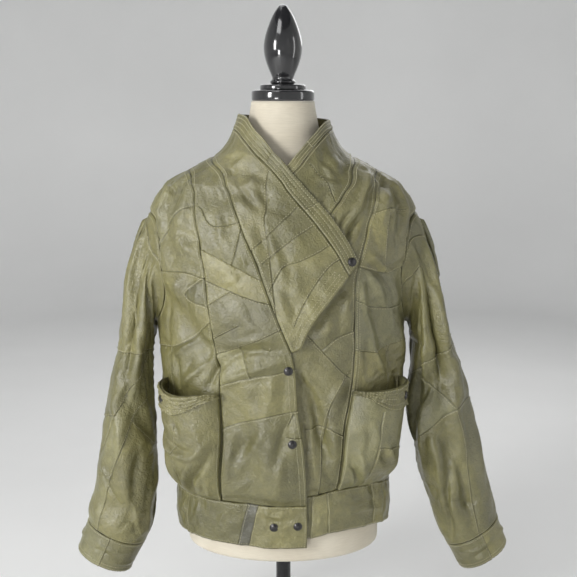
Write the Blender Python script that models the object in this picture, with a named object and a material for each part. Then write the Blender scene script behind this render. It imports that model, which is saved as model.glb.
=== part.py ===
"""Olive leather patchwork jacket worn by a limbless dress form on a round base.

Every piece of leather is a wall of real thickness.  The body pieces are cut from one hollow
surface: a stack of oval rings that goes up the trunk, over the shoulders and into the standing
collar.  A place on it is an angle round the body (0 at the front centre, 90 at the wearer's
left, 180 at the back, -90 or 270 at the wearer's right) and a height above the hem.
All sizes are in metres; +Z is up and the front looks along -Y.
"""

import math
from collections import namedtuple

import bmesh
import bpy
from mathutils import Vector

# Driving dimensions
LEATHER = 0.0022            # thickness of the leather wall
SEAM_GAP = 0.0003           # left between two pieces that are sewn together
HEM_HEIGHT = 0.290          # hem at the front centre above the floor
WAIST_SEAM = 0.078          # depth of the waistband
ARMPIT = 0.370              # heights from here on are above the hem
LAPEL_TIP = 0.350
SHOULDER_TIP = 0.568
SHOULDER_MID = 0.637        # top of the princess seams
NECK_POINT = 0.6595         # top of the lapel seams
COLLAR_TOP_RIGHT = 0.732
COLLAR_TOP_LEFT = 0.722
COLLAR_TOP_BACK = 0.718
NECK_BACK = 0.650
OVERLAP_OUT = 0.0050        # the wearer's right front lies this far outside the left
LAPEL_LIFT = 0.0060         # the free lower edge of the lapel stands off by this much more
LAPEL_LIFT_ANGLE = 16.0     # width of the lifted strip, in degrees
LAPEL_LIFT_FROM = 0.345
LAPEL_LIFT_SPAN = 0.150     # from the lapel tip up to its snap
NECK_DIP_FROM = 0.560       # the back neck seam dips at its middle; the rows above here follow
NECK_DIP_ROUNDNESS = 0.8
POCKET_BULGE = 0.036
POCKET_ROUNDNESS = 0.6      # 1 is a sine across the pouch, less is fuller
POCKET_FULL_FROM = 0.45     # share of its height from which a pouch is at its fullest
POCKET_BAND_CLEAR = 0.0009  # a folded edge stands off the pouch that it wraps
SNAP_RADIUS = 0.0075
SNAP_HEIGHT = 0.0034
SNAP_CLEAR = 0.0009         # under a flat snap on curved leather
SNAP_RIM_HEIGHT = SNAP_HEIGHT * 0.45
SNAP_CROWN_RADIUS = SNAP_RADIUS * 0.8
SNAP_CROWN_HEIGHT = SNAP_HEIGHT * 0.85
BASE_RADIUS = 0.160
BASE_THICKNESS = 0.016
BASE_CHAMFER = 0.004
POLE_RADIUS = 0.0133
FORM_BOTTOM = -0.0325
FORM_TOP = 0.7525
FORM_RIM = 0.008            # height of the rounded rim at the form's bottom

# Rows up the body: hem seam to lapel tip, on to the lapel corner, on to the shoulder
WAIST_ROWS = 11
CHEST_ROWS = 5
SHOULDER_ROWS = 9
SIDE_COLUMNS = 8
CENTRE_COLUMNS = 6
LAPEL_COLUMNS = 5
BAND_COLUMNS = 2
BACK_COLUMNS = 14
WAISTBAND_ROWS = 3
HEAD_RINGS = 6
SLEEVE_RINGS = 13
CUFF_RINGS = 2
FORM_ROWS = 15
FORM_SEGMENTS = 24
FINIAL_SEGMENTS = 20
BASE_SEGMENTS = 40
SNAP_SEGMENTS = 14
MEAN_RADIUS = 0.170         # turns an angle round the body into a length
SLEEVE_RADIUS = 0.055
SAMPLE = 0.002              # step used to measure slopes

Section = namedtuple("Section", "height half_width front_depth back_depth")
BODY_SECTIONS = [Section(*row) for row in (
    (-0.040, 0.189, 0.121, 0.118),
    (0.000, 0.191, 0.124, 0.120),
    (0.040, 0.194, 0.126, 0.122),
    (0.078, 0.191, 0.127, 0.122),
    (0.100, 0.198, 0.140, 0.135),
    (0.140, 0.206, 0.147, 0.143),
    (0.200, 0.210, 0.148, 0.144),
    (0.260, 0.2135, 0.147, 0.142),
    (0.330, 0.2135, 0.148, 0.138),
    (0.400, 0.2125, 0.150, 0.135),
    (0.460, 0.2170, 0.146, 0.133),
    (0.510, 0.2220, 0.138, 0.131),
    (0.550, 0.2275, 0.128, 0.127),
    (0.568, 0.2287, 0.122, 0.125),
    (0.5856, 0.2225, 0.116, 0.121),
    (0.604, 0.2095, 0.110, 0.116),
    (0.616, 0.2000, 0.107, 0.112),
    (0.627, 0.1810, 0.103, 0.108),
    (0.639, 0.1560, 0.100, 0.103),
    (0.6505, 0.1370, 0.098, 0.098),
    (0.6595, 0.1180, 0.096, 0.094),
    (0.680, 0.0975, 0.090, 0.086),
    (0.700, 0.0865, 0.084, 0.081),
    (0.735, 0.0740, 0.076, 0.075),
)]

# Each seam is a chain of stretches; a stretch lists (angle, height) from the hem up
SIDE_RIGHT = ((-90, WAIST_SEAM), (-90, ARMPIT))
ARMHOLE_LOW = ((-90, ARMPIT), (-81, 0.385), (-74, 0.415), (-68, 0.460), (-66.5, 0.485))
ARMHOLE_HIGH = ((-66.5, 0.485), (-67, 0.520), (-74, 0.550), (-82, 0.563), (-90, SHOULDER_TIP))
PRINCESS_RIGHT = (
    ((-33.3, WAIST_SEAM), (-29.2, 0.190), (-29.5, 0.280), (-31.0, 0.325), (-33.3, LAPEL_TIP)),
    ((-33.3, LAPEL_TIP), (-35.2, 0.436), (-36.5, 0.490)),
    ((-36.5, 0.490), (-38.2, 0.541), (-40.8, 0.583), (-48.0, 0.615), (-66.0, 0.632),
     (-90, SHOULDER_MID)),
)
PRINCESS_LEFT = (
    ((29.1, WAIST_SEAM), (28.8, 0.190), (30.9, 0.2455), (33.2, 0.300), (34.1, LAPEL_TIP)),
    ((34.1, LAPEL_TIP), (33.8, 0.4155), (33.5, 0.4568), (34.7, 0.4907)),
    ((34.7, 0.4907), (37.4, 0.5289), (42.1, 0.5811), (53.8, 0.6202), (70.0, 0.633),
     (90, SHOULDER_MID)),
)
FRONT_EDGE_RIGHT = ((12.3, WAIST_SEAM), (9.5, 0.186), (6.8, 0.248), (5.7, 0.310), (3.8, LAPEL_TIP))
FRONT_EDGE_LEFT = ((-5.0, WAIST_SEAM), (-5.0, LAPEL_TIP))
LAPEL_SEAM_RIGHT = (
    ((3.8, LAPEL_TIP), (-5.6, 0.4367), (-10.6, 0.492)),
    ((-10.6, 0.492), (-15.5, 0.5344), (-20.1, 0.5786), (-28.6, 0.6184), (-40.8, 0.639),
     (-62.0, 0.652), (-90, NECK_POINT)),
)
LAPEL_SEAM_LEFT = (
    ((-5.0, LAPEL_TIP), (5.6, 0.4367), (10.6, 0.492)),
    ((10.6, 0.492), (15.0, 0.540), (19.7, 0.5708), (25.5, 0.5924), (33.0, 0.615),
     (48.0, 0.639), (65.0, 0.652), (90, NECK_POINT)),
)
LAPEL_EDGE_LOW = ((8.0, 0.357), (12.5, 0.3953), (20.9, 0.4366), (29.0, 0.472))
BAND_SEAM_RIGHT = (
    (29.0, 0.472), (22.5, 0.512), (12.5, 0.560), (3.0, 0.6041), (-1.5, 0.6266), (-10.1, 0.6488),
    (-25.1, 0.6685), (-41.0, 0.686), (-62.0, 0.702), (-90, 0.707),
)
LAPEL_EDGE_HIGH = (
    (34.1, 0.4924), (28.5, 0.5255), (21.0, 0.5628), (13.5, 0.5995), (2.3, 0.6508), (-8.5, 0.673),
    (-20.5, 0.6933), (-35.0, 0.7095), (-54.0, 0.7288), (-90, COLLAR_TOP_RIGHT),
)
LEFT_EDGE_LOW = ((-9.0, 0.357), (-12.0, 0.420), (-9.0, 0.500))
LEFT_BAND_SEAM = (
    (-9.0, 0.500), (-9.0, 0.570), (-4.0, 0.612), (7.5, 0.640), (19.0, 0.6615), (37.0, 0.684),
    (60.0, 0.701), (90, 0.706),
)
LEFT_EDGE_HIGH = (
    (-17.0, 0.500), (-17.0, 0.570), (-11.0, 0.620), (3.0, 0.6508), (15.0, 0.6729),
    (33.9, 0.697), (59.0, 0.7174), (90, COLLAR_TOP_LEFT),
)

# The left front hangs a little higher than the right one: (angle, lift of the hem)
HEM_LIFT = ((-20, 0.012), (14, 0.014), (30, 0.021), (50, 0.020), (90, 0.006), (140, 0.0), (270, 0.0))
LIFT_FADES_FROM = 0.085
LIFT_ENDS_AT = 0.350

# Edge of the left front where the right one covers it: (height, angle)
COVERED_EDGE = ((-0.04, -5), (0.350, -5), (0.500, -17), (0.570, -17), (0.620, -11), (0.6508, 3),
                (0.6729, 15), (0.697, 34), (0.735, 75))
COVER_BLEND_FAR = 15.0
COVER_BLEND_NEAR = 3.0

Fold = namedtuple("Fold", "angle_from height_from angle_to height_to half_width depth")


def folds(*rows):
    return [Fold(*row) for row in rows]


RIGHT_FRONT_FOLDS = folds(
    (-80, 0.606, -66, 0.530, 0.017, -0.011),
    (-62, 0.618, -58, 0.530, 0.017, -0.010),
    (-71, 0.600, -63, 0.490, 0.018, 0.010),
    (-52, 0.600, -48, 0.500, 0.018, 0.006),
    (-66, 0.470, -42, 0.425, 0.022, 0.009),
    (-62, 0.425, -42, 0.360, 0.022, -0.010),
    (-86, 0.400, -72, 0.300, 0.022, 0.010),
    (-44, 0.368, -24, 0.335, 0.022, -0.009),
    (-58, 0.320, -36, 0.272, 0.022, 0.006),
    (-78, 0.345, -60, 0.315, 0.020, -0.007),
    (-30, 0.612, -20, 0.585, 0.018, -0.005),
    (-12, 0.580, 4, 0.560, 0.018, 0.004),
    (-24, 0.270, -14, 0.100, 0.020, -0.006),
    (-8, 0.230, 0, 0.100, 0.020, 0.005),
    (-28, 0.420, -6, 0.385, 0.022, 0.005),
)
LEFT_FRONT_FOLDS = folds(
    (80, 0.608, 68, 0.530, 0.017, -0.011),
    (64, 0.618, 58, 0.545, 0.017, -0.010),
    (72, 0.600, 64, 0.490, 0.018, 0.009),
    (58, 0.606, 34, 0.560, 0.017, 0.011),
    (46, 0.585, 32, 0.545, 0.016, -0.013),
    (43, 0.497, 62, 0.425, 0.020, 0.010),
    (40, 0.490, 60, 0.455, 0.018, -0.007),
    (60, 0.400, 76, 0.310, 0.022, 0.009),
    (46, 0.400, 60, 0.320, 0.020, -0.009),
    (10, 0.300, 19, 0.150, 0.019, -0.011),
    (23, 0.330, 27, 0.150, 0.019, 0.006),
    (34, 0.140, 36, 0.085, 0.016, -0.005),
)
BACK_FOLDS = folds(
    (102, 0.604, 120, 0.500, 0.019, -0.010),
    (124, 0.600, 134, 0.440, 0.024, 0.010),
    (114, 0.460, 150, 0.370, 0.026, -0.010),
    (110, 0.400, 142, 0.300, 0.026, 0.010),
    (258, 0.604, 242, 0.490, 0.019, -0.010),
    (236, 0.600, 226, 0.450, 0.024, 0.010),
    (246, 0.450, 210, 0.380, 0.026, -0.008),
    (250, 0.390, 216, 0.290, 0.026, 0.010),
    (168, 0.320, 176, 0.100, 0.024, 0.008),
    (196, 0.280, 190, 0.100, 0.024, -0.008),
    (150, 0.260, 146, 0.100, 0.024, -0.007),
    (214, 0.250, 220, 0.100, 0.024, 0.007),
    (122, 0.230, 118, 0.100, 0.022, 0.007),
    (240, 0.220, 246, 0.100, 0.022, -0.007),
    (150, 0.560, 205, 0.520, 0.026, 0.006),
)

# A sleeve leaves the armhole this way: a mix of the way out of the hole and of the way into it
SLEEVE_OUT = 0.62
SLEEVE_IN_HOLE = 0.72
SLEEVE_FALL = -0.25         # the way out drops by this much
SLEEVE_TENSION = 0.95       # length of the curve's handles, as a share of its span

# A sleeve's stations run from the upper arm to the cuff seam; x is measured away from the body
Station = namedtuple("Station", "x y height half_width half_depth lean")
RIGHT_STATIONS = [Station(*row) for row in (
    (0.2590, 0.012, 0.345, 0.0315, 0.066, 14),
    (0.2640, 0.008, 0.310, 0.0320, 0.064, 12),
    (0.2738, 0.002, 0.235, 0.0405, 0.059, 8),
    (0.2785, -0.004, 0.139, 0.0510, 0.057, 8),
    (0.2870, -0.008, 0.057, 0.0560, 0.054, 12),
    (0.2955, -0.011, 0.012, 0.0590, 0.053, 19),
    (0.3030, -0.012, -0.014, 0.0545, 0.049, 23.5),
)]
LEFT_STATIONS = [Station(*row) for row in (
    (0.2620, 0.012, 0.345, 0.0350, 0.068, 16),
    (0.2670, 0.008, 0.305, 0.0410, 0.066, 14),
    (0.2760, 0.000, 0.225, 0.0560, 0.062, 14),
    (0.2975, -0.006, 0.131, 0.0590, 0.057, 16),
    (0.3180, -0.010, 0.060, 0.0570, 0.054, 22),
    (0.3330, -0.012, 0.015, 0.0565, 0.052, 28),
    (0.3427, -0.012, -0.011, 0.0520, 0.048, 31),
)]
Cuff = namedtuple("Cuff", "x height half_width half_depth lean")
RIGHT_CUFF = Cuff(0.3274, -0.069, 0.0515, 0.045, 24)
LEFT_CUFF = Cuff(0.3655, -0.060, 0.0480, 0.044, 31)

# Folds on a sleeve: angle round it (0 beside the body, 90 front, 180 outside), length down it
RIGHT_SLEEVE_FOLDS = folds(
    (122, 0.03, 130, 0.20, 0.014, 0.010),
    (97, 0.03, 94, 0.25, 0.014, -0.011),
    (66, 0.05, 72, 0.26, 0.015, 0.010),
    (152, 0.00, 154, 0.08, 0.012, -0.007),
    (205, 0.00, 200, 0.09, 0.012, -0.007),
    (240, 0.03, 236, 0.22, 0.018, 0.010),
    (268, 0.05, 288, 0.25, 0.018, -0.010),
    (34, 0.24, 110, 0.31, 0.018, -0.009),
    (118, 0.29, 85, 0.44, 0.020, 0.009),
    (255, 0.30, 215, 0.42, 0.020, -0.010),
    (70, 0.46, 120, 0.52, 0.016, -0.007),
    (250, 0.47, 200, 0.53, 0.016, -0.006),
)
LEFT_SLEEVE_FOLDS = folds(
    (128, 0.02, 120, 0.32, 0.015, 0.013),
    (102, 0.03, 97, 0.29, 0.015, -0.014),
    (74, 0.06, 68, 0.20, 0.016, 0.010),
    (152, 0.02, 148, 0.24, 0.013, -0.010),
    (205, 0.00, 202, 0.09, 0.012, -0.007),
    (238, 0.04, 236, 0.24, 0.018, 0.010),
    (264, 0.06, 286, 0.26, 0.018, -0.010),
    (26, 0.19, 90, 0.26, 0.018, -0.014),
    (46, 0.28, 62, 0.38, 0.020, 0.011),
    (90, 0.33, 94, 0.55, 0.014, -0.013),
    (72, 0.34, 76, 0.54, 0.016, 0.010),
    (132, 0.27, 110, 0.40, 0.018, 0.010),
    (255, 0.32, 218, 0.44, 0.020, -0.011),
)

# A pouch covers these rows and half columns of its side panel, from the princess seam outwards
POCKET_ROWS = 8
POCKET_HALF_COLUMNS = 10
POCKET_BAND_ROWS = 1.7      # deepest part of the folded band, in rows of the pouch
POCKET_BAND_TAPER = 0.16    # its depth at the princess seam, as a share of the deepest
POCKET_BAND_FULL_FROM = 0.55    # share of the way out from which it has its full depth
POCKET_SNAP_COLUMN = 3      # half columns in from the pouch's outer edge

Turned = namedtuple("Turned", "radius height")
FINIAL = [Turned(*row) for row in (
    (0.0200, 0.7804), (0.0215, 0.7850), (0.0180, 0.7900), (0.0205, 0.7975), (0.0262, 0.8110),
    (0.0310, 0.8270), (0.0325, 0.8430), (0.0300, 0.8600), (0.0235, 0.8800), (0.0155, 0.8970),
    (0.0070, 0.9090),
)]
FINIAL_TOP = 0.9123
CAP_LOWER = (0.0535, 0.7530, 0.7710)
CAP_UPPER = (0.0390, 0.7713, 0.7800)

FORM_SECTIONS = [Section(*row) for row in (
    (FORM_BOTTOM, 0.168, 0.113, 0.108),
    (FORM_BOTTOM + FORM_RIM, 0.172, 0.116, 0.111),
    (0.050, 0.170, 0.115, 0.112),
    (0.130, 0.155, 0.104, 0.106),
    (0.220, 0.132, 0.092, 0.092),
    (0.280, 0.128, 0.092, 0.088),
    (0.360, 0.145, 0.108, 0.096),
    (0.430, 0.160, 0.116, 0.104),
    (0.500, 0.166, 0.108, 0.108),
    (0.555, 0.168, 0.094, 0.104),
    (0.590, 0.156, 0.084, 0.096),
    (0.618, 0.132, 0.077, 0.086),
    (0.640, 0.104, 0.072, 0.076),
    (0.662, 0.080, 0.066, 0.068),
    (0.690, 0.0655, 0.060, 0.062),
    (0.726, 0.0580, 0.056, 0.057),
    (FORM_TOP, 0.0535, 0.0535, 0.0535),
)]

OLIVE = (0.20, 0.20, 0.10)
LINEN = (0.72, 0.67, 0.56)
BLACK = (0.012, 0.012, 0.013)
BRONZE = (0.09, 0.08, 0.07)


# ---------------------------------------------------------------- curves and tables

def smooth_step(value):
    value = max(0.0, min(1.0, value))
    return value * value * (3.0 - 2.0 * value)


def slopes(keys, values):
    """Slopes that keep a curve through the points free of overshoot."""
    steps = [(values[i + 1] - values[i]) / (keys[i + 1] - keys[i]) for i in range(len(keys) - 1)]
    result = [steps[0]]
    for before, after in zip(steps, steps[1:]):
        result.append(0.0 if before * after <= 0 else 2 * before * after / (before + after))
    result.append(steps[-1])
    return result


def curve(rows):
    """A smooth function through rows of (key, value, value, ...)."""
    keys = [row[0] for row in rows]
    columns = list(zip(*[row[1:] for row in rows]))
    leans = [slopes(keys, column) for column in columns]

    def read(key):
        key = max(keys[0], min(keys[-1], key))
        at = next((i for i in range(len(keys) - 1) if key <= keys[i + 1]), len(keys) - 2)
        span = keys[at + 1] - keys[at]
        part = (key - keys[at]) / span
        weight = smooth_step(part)
        lead = part * (1 - part) ** 2 * span
        trail = part * part * (part - 1) * span
        return [column[at] * (1 - weight) + column[at + 1] * weight
                + lead * lean[at] + trail * lean[at + 1]
                for column, lean in zip(columns, leans)]
    return read


read_ring = curve(BODY_SECTIONS)
read_form = curve(FORM_SECTIONS)
read_lift = curve(HEM_LIFT)
read_cover = curve(COVERED_EDGE)


def along(points, count):
    """Splits a smooth line through (angle, height) points into count equal lengths."""
    flat = [Vector((math.radians(angle) * MEAN_RADIUS, height)) for angle, height in points]
    fine = []
    for at in range(len(flat) - 1):
        start, end = flat[at], flat[at + 1]
        before = flat[at - 1] if at else start * 2 - end
        after = flat[at + 2] if at + 2 < len(flat) else end * 2 - start
        fine += [catmull(before, start, end, after, step / 12) for step in range(12)]
    fine.append(flat[-1])
    lengths = [0.0]
    for one, two in zip(fine, fine[1:]):
        lengths.append(lengths[-1] + (two - one).length)
    result = []
    for step in range(count + 1):
        goal = lengths[-1] * step / count
        at = next((i for i in range(len(fine) - 1) if goal <= lengths[i + 1]), len(fine) - 2)
        part = (goal - lengths[at]) / (lengths[at + 1] - lengths[at])
        place = fine[at].lerp(fine[at + 1], min(1.0, part))
        result.append((math.degrees(place.x / MEAN_RADIUS), place.y))
    return result


def catmull(before, start, end, after, part):
    square, cube = part * part, part * part * part
    return 0.5 * (2 * start + (end - before) * part
                  + (2 * before - 5 * start + 4 * end - after) * square
                  + (3 * start - before - 3 * end + after) * cube)


def chain(stretches, counts):
    """One seam from several stretches, each split into its own number of rows."""
    line = []
    for stretch, count in zip(stretches, counts):
        line += along(stretch, count)[1 if line else 0:]
    return line


def mirrored(points, about=0.0):
    return tuple((2 * about - angle, height) for angle, height in points)


# ---------------------------------------------------------------- the hollow body surface

def ring_point(angle, height, lifted):
    """A point of the plain body surface."""
    half_width, front, back = read_ring(height)
    turn = math.radians(angle)
    depth = front if math.cos(turn) > 0 else back
    lift = 0.0
    if lifted:
        fade = 1 - smooth_step((height - LIFT_FADES_FROM) / (LIFT_ENDS_AT - LIFT_FADES_FROM))
        lift = read_lift(angle)[0] * fade
    return Vector((half_width * math.sin(turn), -depth * math.cos(turn), HEM_HEIGHT + height + lift))


def slope_normal(point_at, angle, height):
    """The outward normal of a surface given as a function of angle and height."""
    turn = math.degrees(SAMPLE / MEAN_RADIUS)
    across = point_at(angle + turn, height) - point_at(angle - turn, height)
    up = point_at(angle, height + SAMPLE) - point_at(angle, height - SAMPLE)
    return across.cross(up).normalized()


def fold_depth(fold_rows, angle, height, radius):
    """How far the folds push a point out (or in, when negative)."""
    total = 0.0
    for fold in fold_rows:
        middle = (fold.angle_from + fold.angle_to) / 2
        near_angle = angle + 360 * round((middle - angle) / 360)
        start = Vector((math.radians(fold.angle_from) * radius, fold.height_from))
        line = Vector((math.radians(fold.angle_to) * radius, fold.height_to)) - start
        spot = Vector((math.radians(near_angle) * radius, height)) - start
        near = max(0.0, min(1.0, spot.dot(line) / line.length_squared))
        apart = (spot - line * near).length / fold.half_width
        fullness = 0.55 + 0.45 * math.sin(math.pi * near)
        total += fold.depth * fullness * math.exp(-apart * apart)
    return total


def surface(fold_rows, lifted, out=None):
    """The outer face of a piece: the body surface with its folds, moved out where asked."""
    def plain(angle, height):
        return ring_point(angle, height, lifted)

    def point_at(angle, height):
        push = fold_depth(fold_rows, angle, height, MEAN_RADIUS)
        if out:
            push += out(angle, height)
        return plain(angle, height) + slope_normal(plain, angle, height) * push
    return point_at


def covering(angle, height):
    """The right front's extra distance where it lies over the left front."""
    edge = read_cover(height)[0]
    return OVERLAP_OUT * smooth_step((angle - edge + COVER_BLEND_FAR)
                                     / (COVER_BLEND_FAR - COVER_BLEND_NEAR))


def lapel_out(angle, height):
    """The lapel lifts towards its free lower edge and is held down at its snap."""
    edge = read_lapel_edge(height)[0]
    to_edge = smooth_step(1 - (edge - angle) / LAPEL_LIFT_ANGLE)
    part = max(0.0, min(1.0, (height - LAPEL_LIFT_FROM) / LAPEL_LIFT_SPAN))
    return covering(angle, height) + LAPEL_LIFT * to_edge * math.sin(math.pi * part)


read_lapel_edge = curve([(height, angle) for angle, height in LAPEL_EDGE_LOW + LAPEL_EDGE_HIGH[:1]]
                        + [(0.760, 34.1)])

right_surface = surface(RIGHT_FRONT_FOLDS + BACK_FOLDS, False, covering)
lapel_surface = surface(RIGHT_FRONT_FOLDS + BACK_FOLDS, False, lapel_out)
left_surface = surface(LEFT_FRONT_FOLDS + BACK_FOLDS, True)
back_surface = surface(RIGHT_FRONT_FOLDS + LEFT_FRONT_FOLDS + BACK_FOLDS, True)


# ---------------------------------------------------------------- meshes

def material(name, colour, roughness, metallic=0.0):
    made = bpy.data.materials.new(name)
    made.use_nodes = True
    shader = made.node_tree.nodes["Principled BSDF"]
    shader.inputs["Base Color"].default_value = (*colour, 1.0)
    shader.inputs["Roughness"].default_value = roughness
    shader.inputs["Metallic"].default_value = metallic
    return made


def add_object(name, mesh_maker, look, smooth_angle=40):
    mesh = bpy.data.meshes.new(name)
    mesh_maker.to_mesh(mesh)
    mesh_maker.free()
    mesh.shade_smooth()
    mesh.set_sharp_from_angle(angle=math.radians(smooth_angle))
    mesh.materials.append(material(name, *look))
    made = bpy.data.objects.new(name, mesh)
    bpy.context.scene.collection.objects.link(made)
    return made


def leather_wall(name, outer, inner, closed=False):
    """A wall from its outer and inner points: a grid sheet, extruded through its thickness."""
    rows, columns = len(outer), len(outer[0])
    maker = bmesh.new()
    bmesh.ops.create_grid(maker, x_segments=columns - 1, y_segments=rows - 1, size=1.0)
    number = maker.verts.layers.int.new("number")
    for vert in maker.verts:
        row = round((vert.co.y + 1) / 2 * (rows - 1))
        column = round((vert.co.x + 1) / 2 * (columns - 1))
        vert[number] = row * columns + column
        vert.co = outer[row][column]
    if closed:
        bmesh.ops.remove_doubles(maker, verts=maker.verts, dist=0.00001)
    sheet = maker.faces[:]
    thick = bmesh.ops.extrude_face_region(maker, geom=sheet, use_keep_orig=True)
    for item in thick["geom"]:
        if isinstance(item, bmesh.types.BMVert):
            item.co = inner[item[number] // columns][item[number] % columns]
    bmesh.ops.recalc_face_normals(maker, faces=maker.faces)
    maker.verts.layers.int.remove(number)
    return add_object(name, maker, (OLIVE, 0.45))


def pull_in(points, row, column, inward_row, inward_column, amount):
    """Moves a border point square to its border, along the cloth, to leave the seam gap."""
    here = points[row][column]
    if inward_column:
        toward = points[row][column + inward_column] - here
        low = points[max(row - 1, 0)][column]
        high = points[min(row + 1, len(points) - 1)][column]
    else:
        toward = points[row + inward_row][column] - here
        low = points[row][max(column - 1, 0)]
        high = points[row][min(column + 1, len(points[0]) - 1)]
    edge = (high - low).normalized()
    toward = toward - edge * toward.dot(edge)
    return toward.normalized() * amount


def border_shifts(points, amount):
    """The shift of every border point of a panel; the inside stays."""
    last_row, last_column = len(points) - 1, len(points[0]) - 1
    shifts = {}
    for row in range(last_row + 1):
        for column, inward in ((0, 1), (last_column, -1)):
            shifts[row, column] = pull_in(points, row, column, 0, inward, amount)
    for column in range(last_column + 1):
        for row, inward in ((0, 1), (last_row, -1)):
            shift = pull_in(points, row, column, inward, 0, amount)
            shifts[row, column] = shifts.get((row, column), Vector()) + shift
    return shifts


Panel = namedtuple("Panel", "outer inner")
panels = {}


def panel(name, left, right, columns, point_at):
    """A piece between two seams; each row joins the two seams at one level."""
    outer, inner = [], []
    for start, end in zip(left, right):
        row_outer, row_inner = [], []
        for column in range(columns + 1):
            part = column / columns
            angle = start[0] + (end[0] - start[0]) * part
            height = start[1] + (end[1] - start[1]) * part
            point = point_at(angle, height)
            row_outer.append(point)
            row_inner.append(point - slope_normal(point_at, angle, height) * LEATHER)
        outer.append(row_outer)
        inner.append(row_inner)
    for (row, column), shift in border_shifts(outer, SEAM_GAP / 2).items():
        outer[row][column] = outer[row][column] + shift
        inner[row][column] = inner[row][column] + shift
    panels[name] = Panel(outer, inner)
    return leather_wall(name, outer, inner)


def grid_normals(points, closed):
    """Outward normals of a grid of points: its rows go up a panel, or down a sleeve."""
    rows, columns = len(points), len(points[0])
    normals = []
    for row in range(rows):
        line = []
        for column in range(columns):
            if closed:
                before, after = (column - 1) % columns, (column + 1) % columns
            else:
                before, after = max(column - 1, 0), min(column + 1, columns - 1)
            across = points[row][after] - points[row][before]
            onward = points[min(row + 1, rows - 1)][column] - points[max(row - 1, 0)][column]
            line.append(across.cross(onward).normalized())
        normals.append(line)
    return normals


# ---------------------------------------------------------------- body pieces

ROWS = (WAIST_ROWS, CHEST_ROWS, SHOULDER_ROWS)
FRONT_ARMHOLE = (ARMHOLE_LOW, ARMHOLE_HIGH)
BACK_ARMHOLE_LEFT = tuple(mirrored(mirrored(stretch), 90) for stretch in FRONT_ARMHOLE)
BACK_ARMHOLE_RIGHT = tuple(mirrored(stretch, 180) for stretch in BACK_ARMHOLE_LEFT)


def make_fronts():
    side = chain((SIDE_RIGHT,) + FRONT_ARMHOLE, ROWS)
    side_left = [(-angle, height) for angle, height in side]
    princess_right = chain(PRINCESS_RIGHT, ROWS)
    princess_left = chain(PRINCESS_LEFT, ROWS)
    edge_right = chain((FRONT_EDGE_RIGHT,) + LAPEL_SEAM_RIGHT, ROWS)
    edge_left = chain((FRONT_EDGE_LEFT,) + LAPEL_SEAM_LEFT, ROWS)
    panel("right_front_side", side, princess_right, SIDE_COLUMNS, right_surface)
    panel("right_front_centre", princess_right, edge_right, CENTRE_COLUMNS, right_surface)
    panel("left_front_side", princess_left, side_left, SIDE_COLUMNS, left_surface)
    panel("left_front_centre", edge_left, princess_left, CENTRE_COLUMNS, left_surface)


def make_lapels():
    upper = ROWS[1:]
    seam_right = chain(LAPEL_SEAM_RIGHT, upper)
    seam_left = chain(LAPEL_SEAM_LEFT, upper)
    border_right = chain((LAPEL_EDGE_LOW, BAND_SEAM_RIGHT), upper)
    border_left = chain((LEFT_EDGE_LOW, LEFT_BAND_SEAM), upper)
    panel("right_lapel_collar", seam_right, border_right, LAPEL_COLUMNS, lapel_surface)
    panel("left_lapel_collar", border_left, seam_left, LAPEL_COLUMNS, left_surface)
    rows = (SHOULDER_ROWS,)
    panel("right_edge_band", chain((BAND_SEAM_RIGHT,), rows), chain((LAPEL_EDGE_HIGH,), rows),
          BAND_COLUMNS, lapel_surface)
    panel("left_edge_band", chain((LEFT_EDGE_HIGH,), rows), chain((LEFT_BAND_SEAM,), rows),
          BAND_COLUMNS, left_surface)


def make_back():
    counts = ROWS + (SIDE_COLUMNS, CENTRE_COLUMNS)
    shoulder_left = (((90, SHOULDER_TIP), (90, SHOULDER_MID)), ((90, SHOULDER_MID), (90, NECK_POINT)))
    left = chain((mirrored(SIDE_RIGHT),) + BACK_ARMHOLE_LEFT + shoulder_left, counts)
    right = [(360 - angle, height) for angle, height in left]
    panel("back", left, right, BACK_COLUMNS, back_dipped)


def neck_dip(angle, height):
    """The back neck seam runs lower at its middle than at the shoulders."""
    round_back = math.sin(math.radians(max(90, min(270, angle)) - 90)) ** NECK_DIP_ROUNDNESS
    low = (NECK_POINT - NECK_BACK) * round_back
    fade = smooth_step((height - NECK_DIP_FROM) / (NECK_POINT - NECK_DIP_FROM))
    above = smooth_step((COLLAR_TOP_BACK - height) / (COLLAR_TOP_BACK - NECK_POINT))
    return low * fade * (above if height > NECK_POINT else 1.0)


def back_dipped(angle, height):
    return back_surface(angle, height - neck_dip(angle, height))


def make_back_collar():
    left = chain((((90, NECK_POINT), (90, 0.706)), ((90, 0.706), (90, COLLAR_TOP_LEFT))),
                 (LAPEL_COLUMNS, BAND_COLUMNS))
    right = chain((((270, NECK_POINT), (270, 0.707)), ((270, 0.707), (270, COLLAR_TOP_RIGHT))),
                  (LAPEL_COLUMNS, BAND_COLUMNS))
    panel("back_collar", left, right, BACK_COLUMNS, back_dipped)


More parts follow.
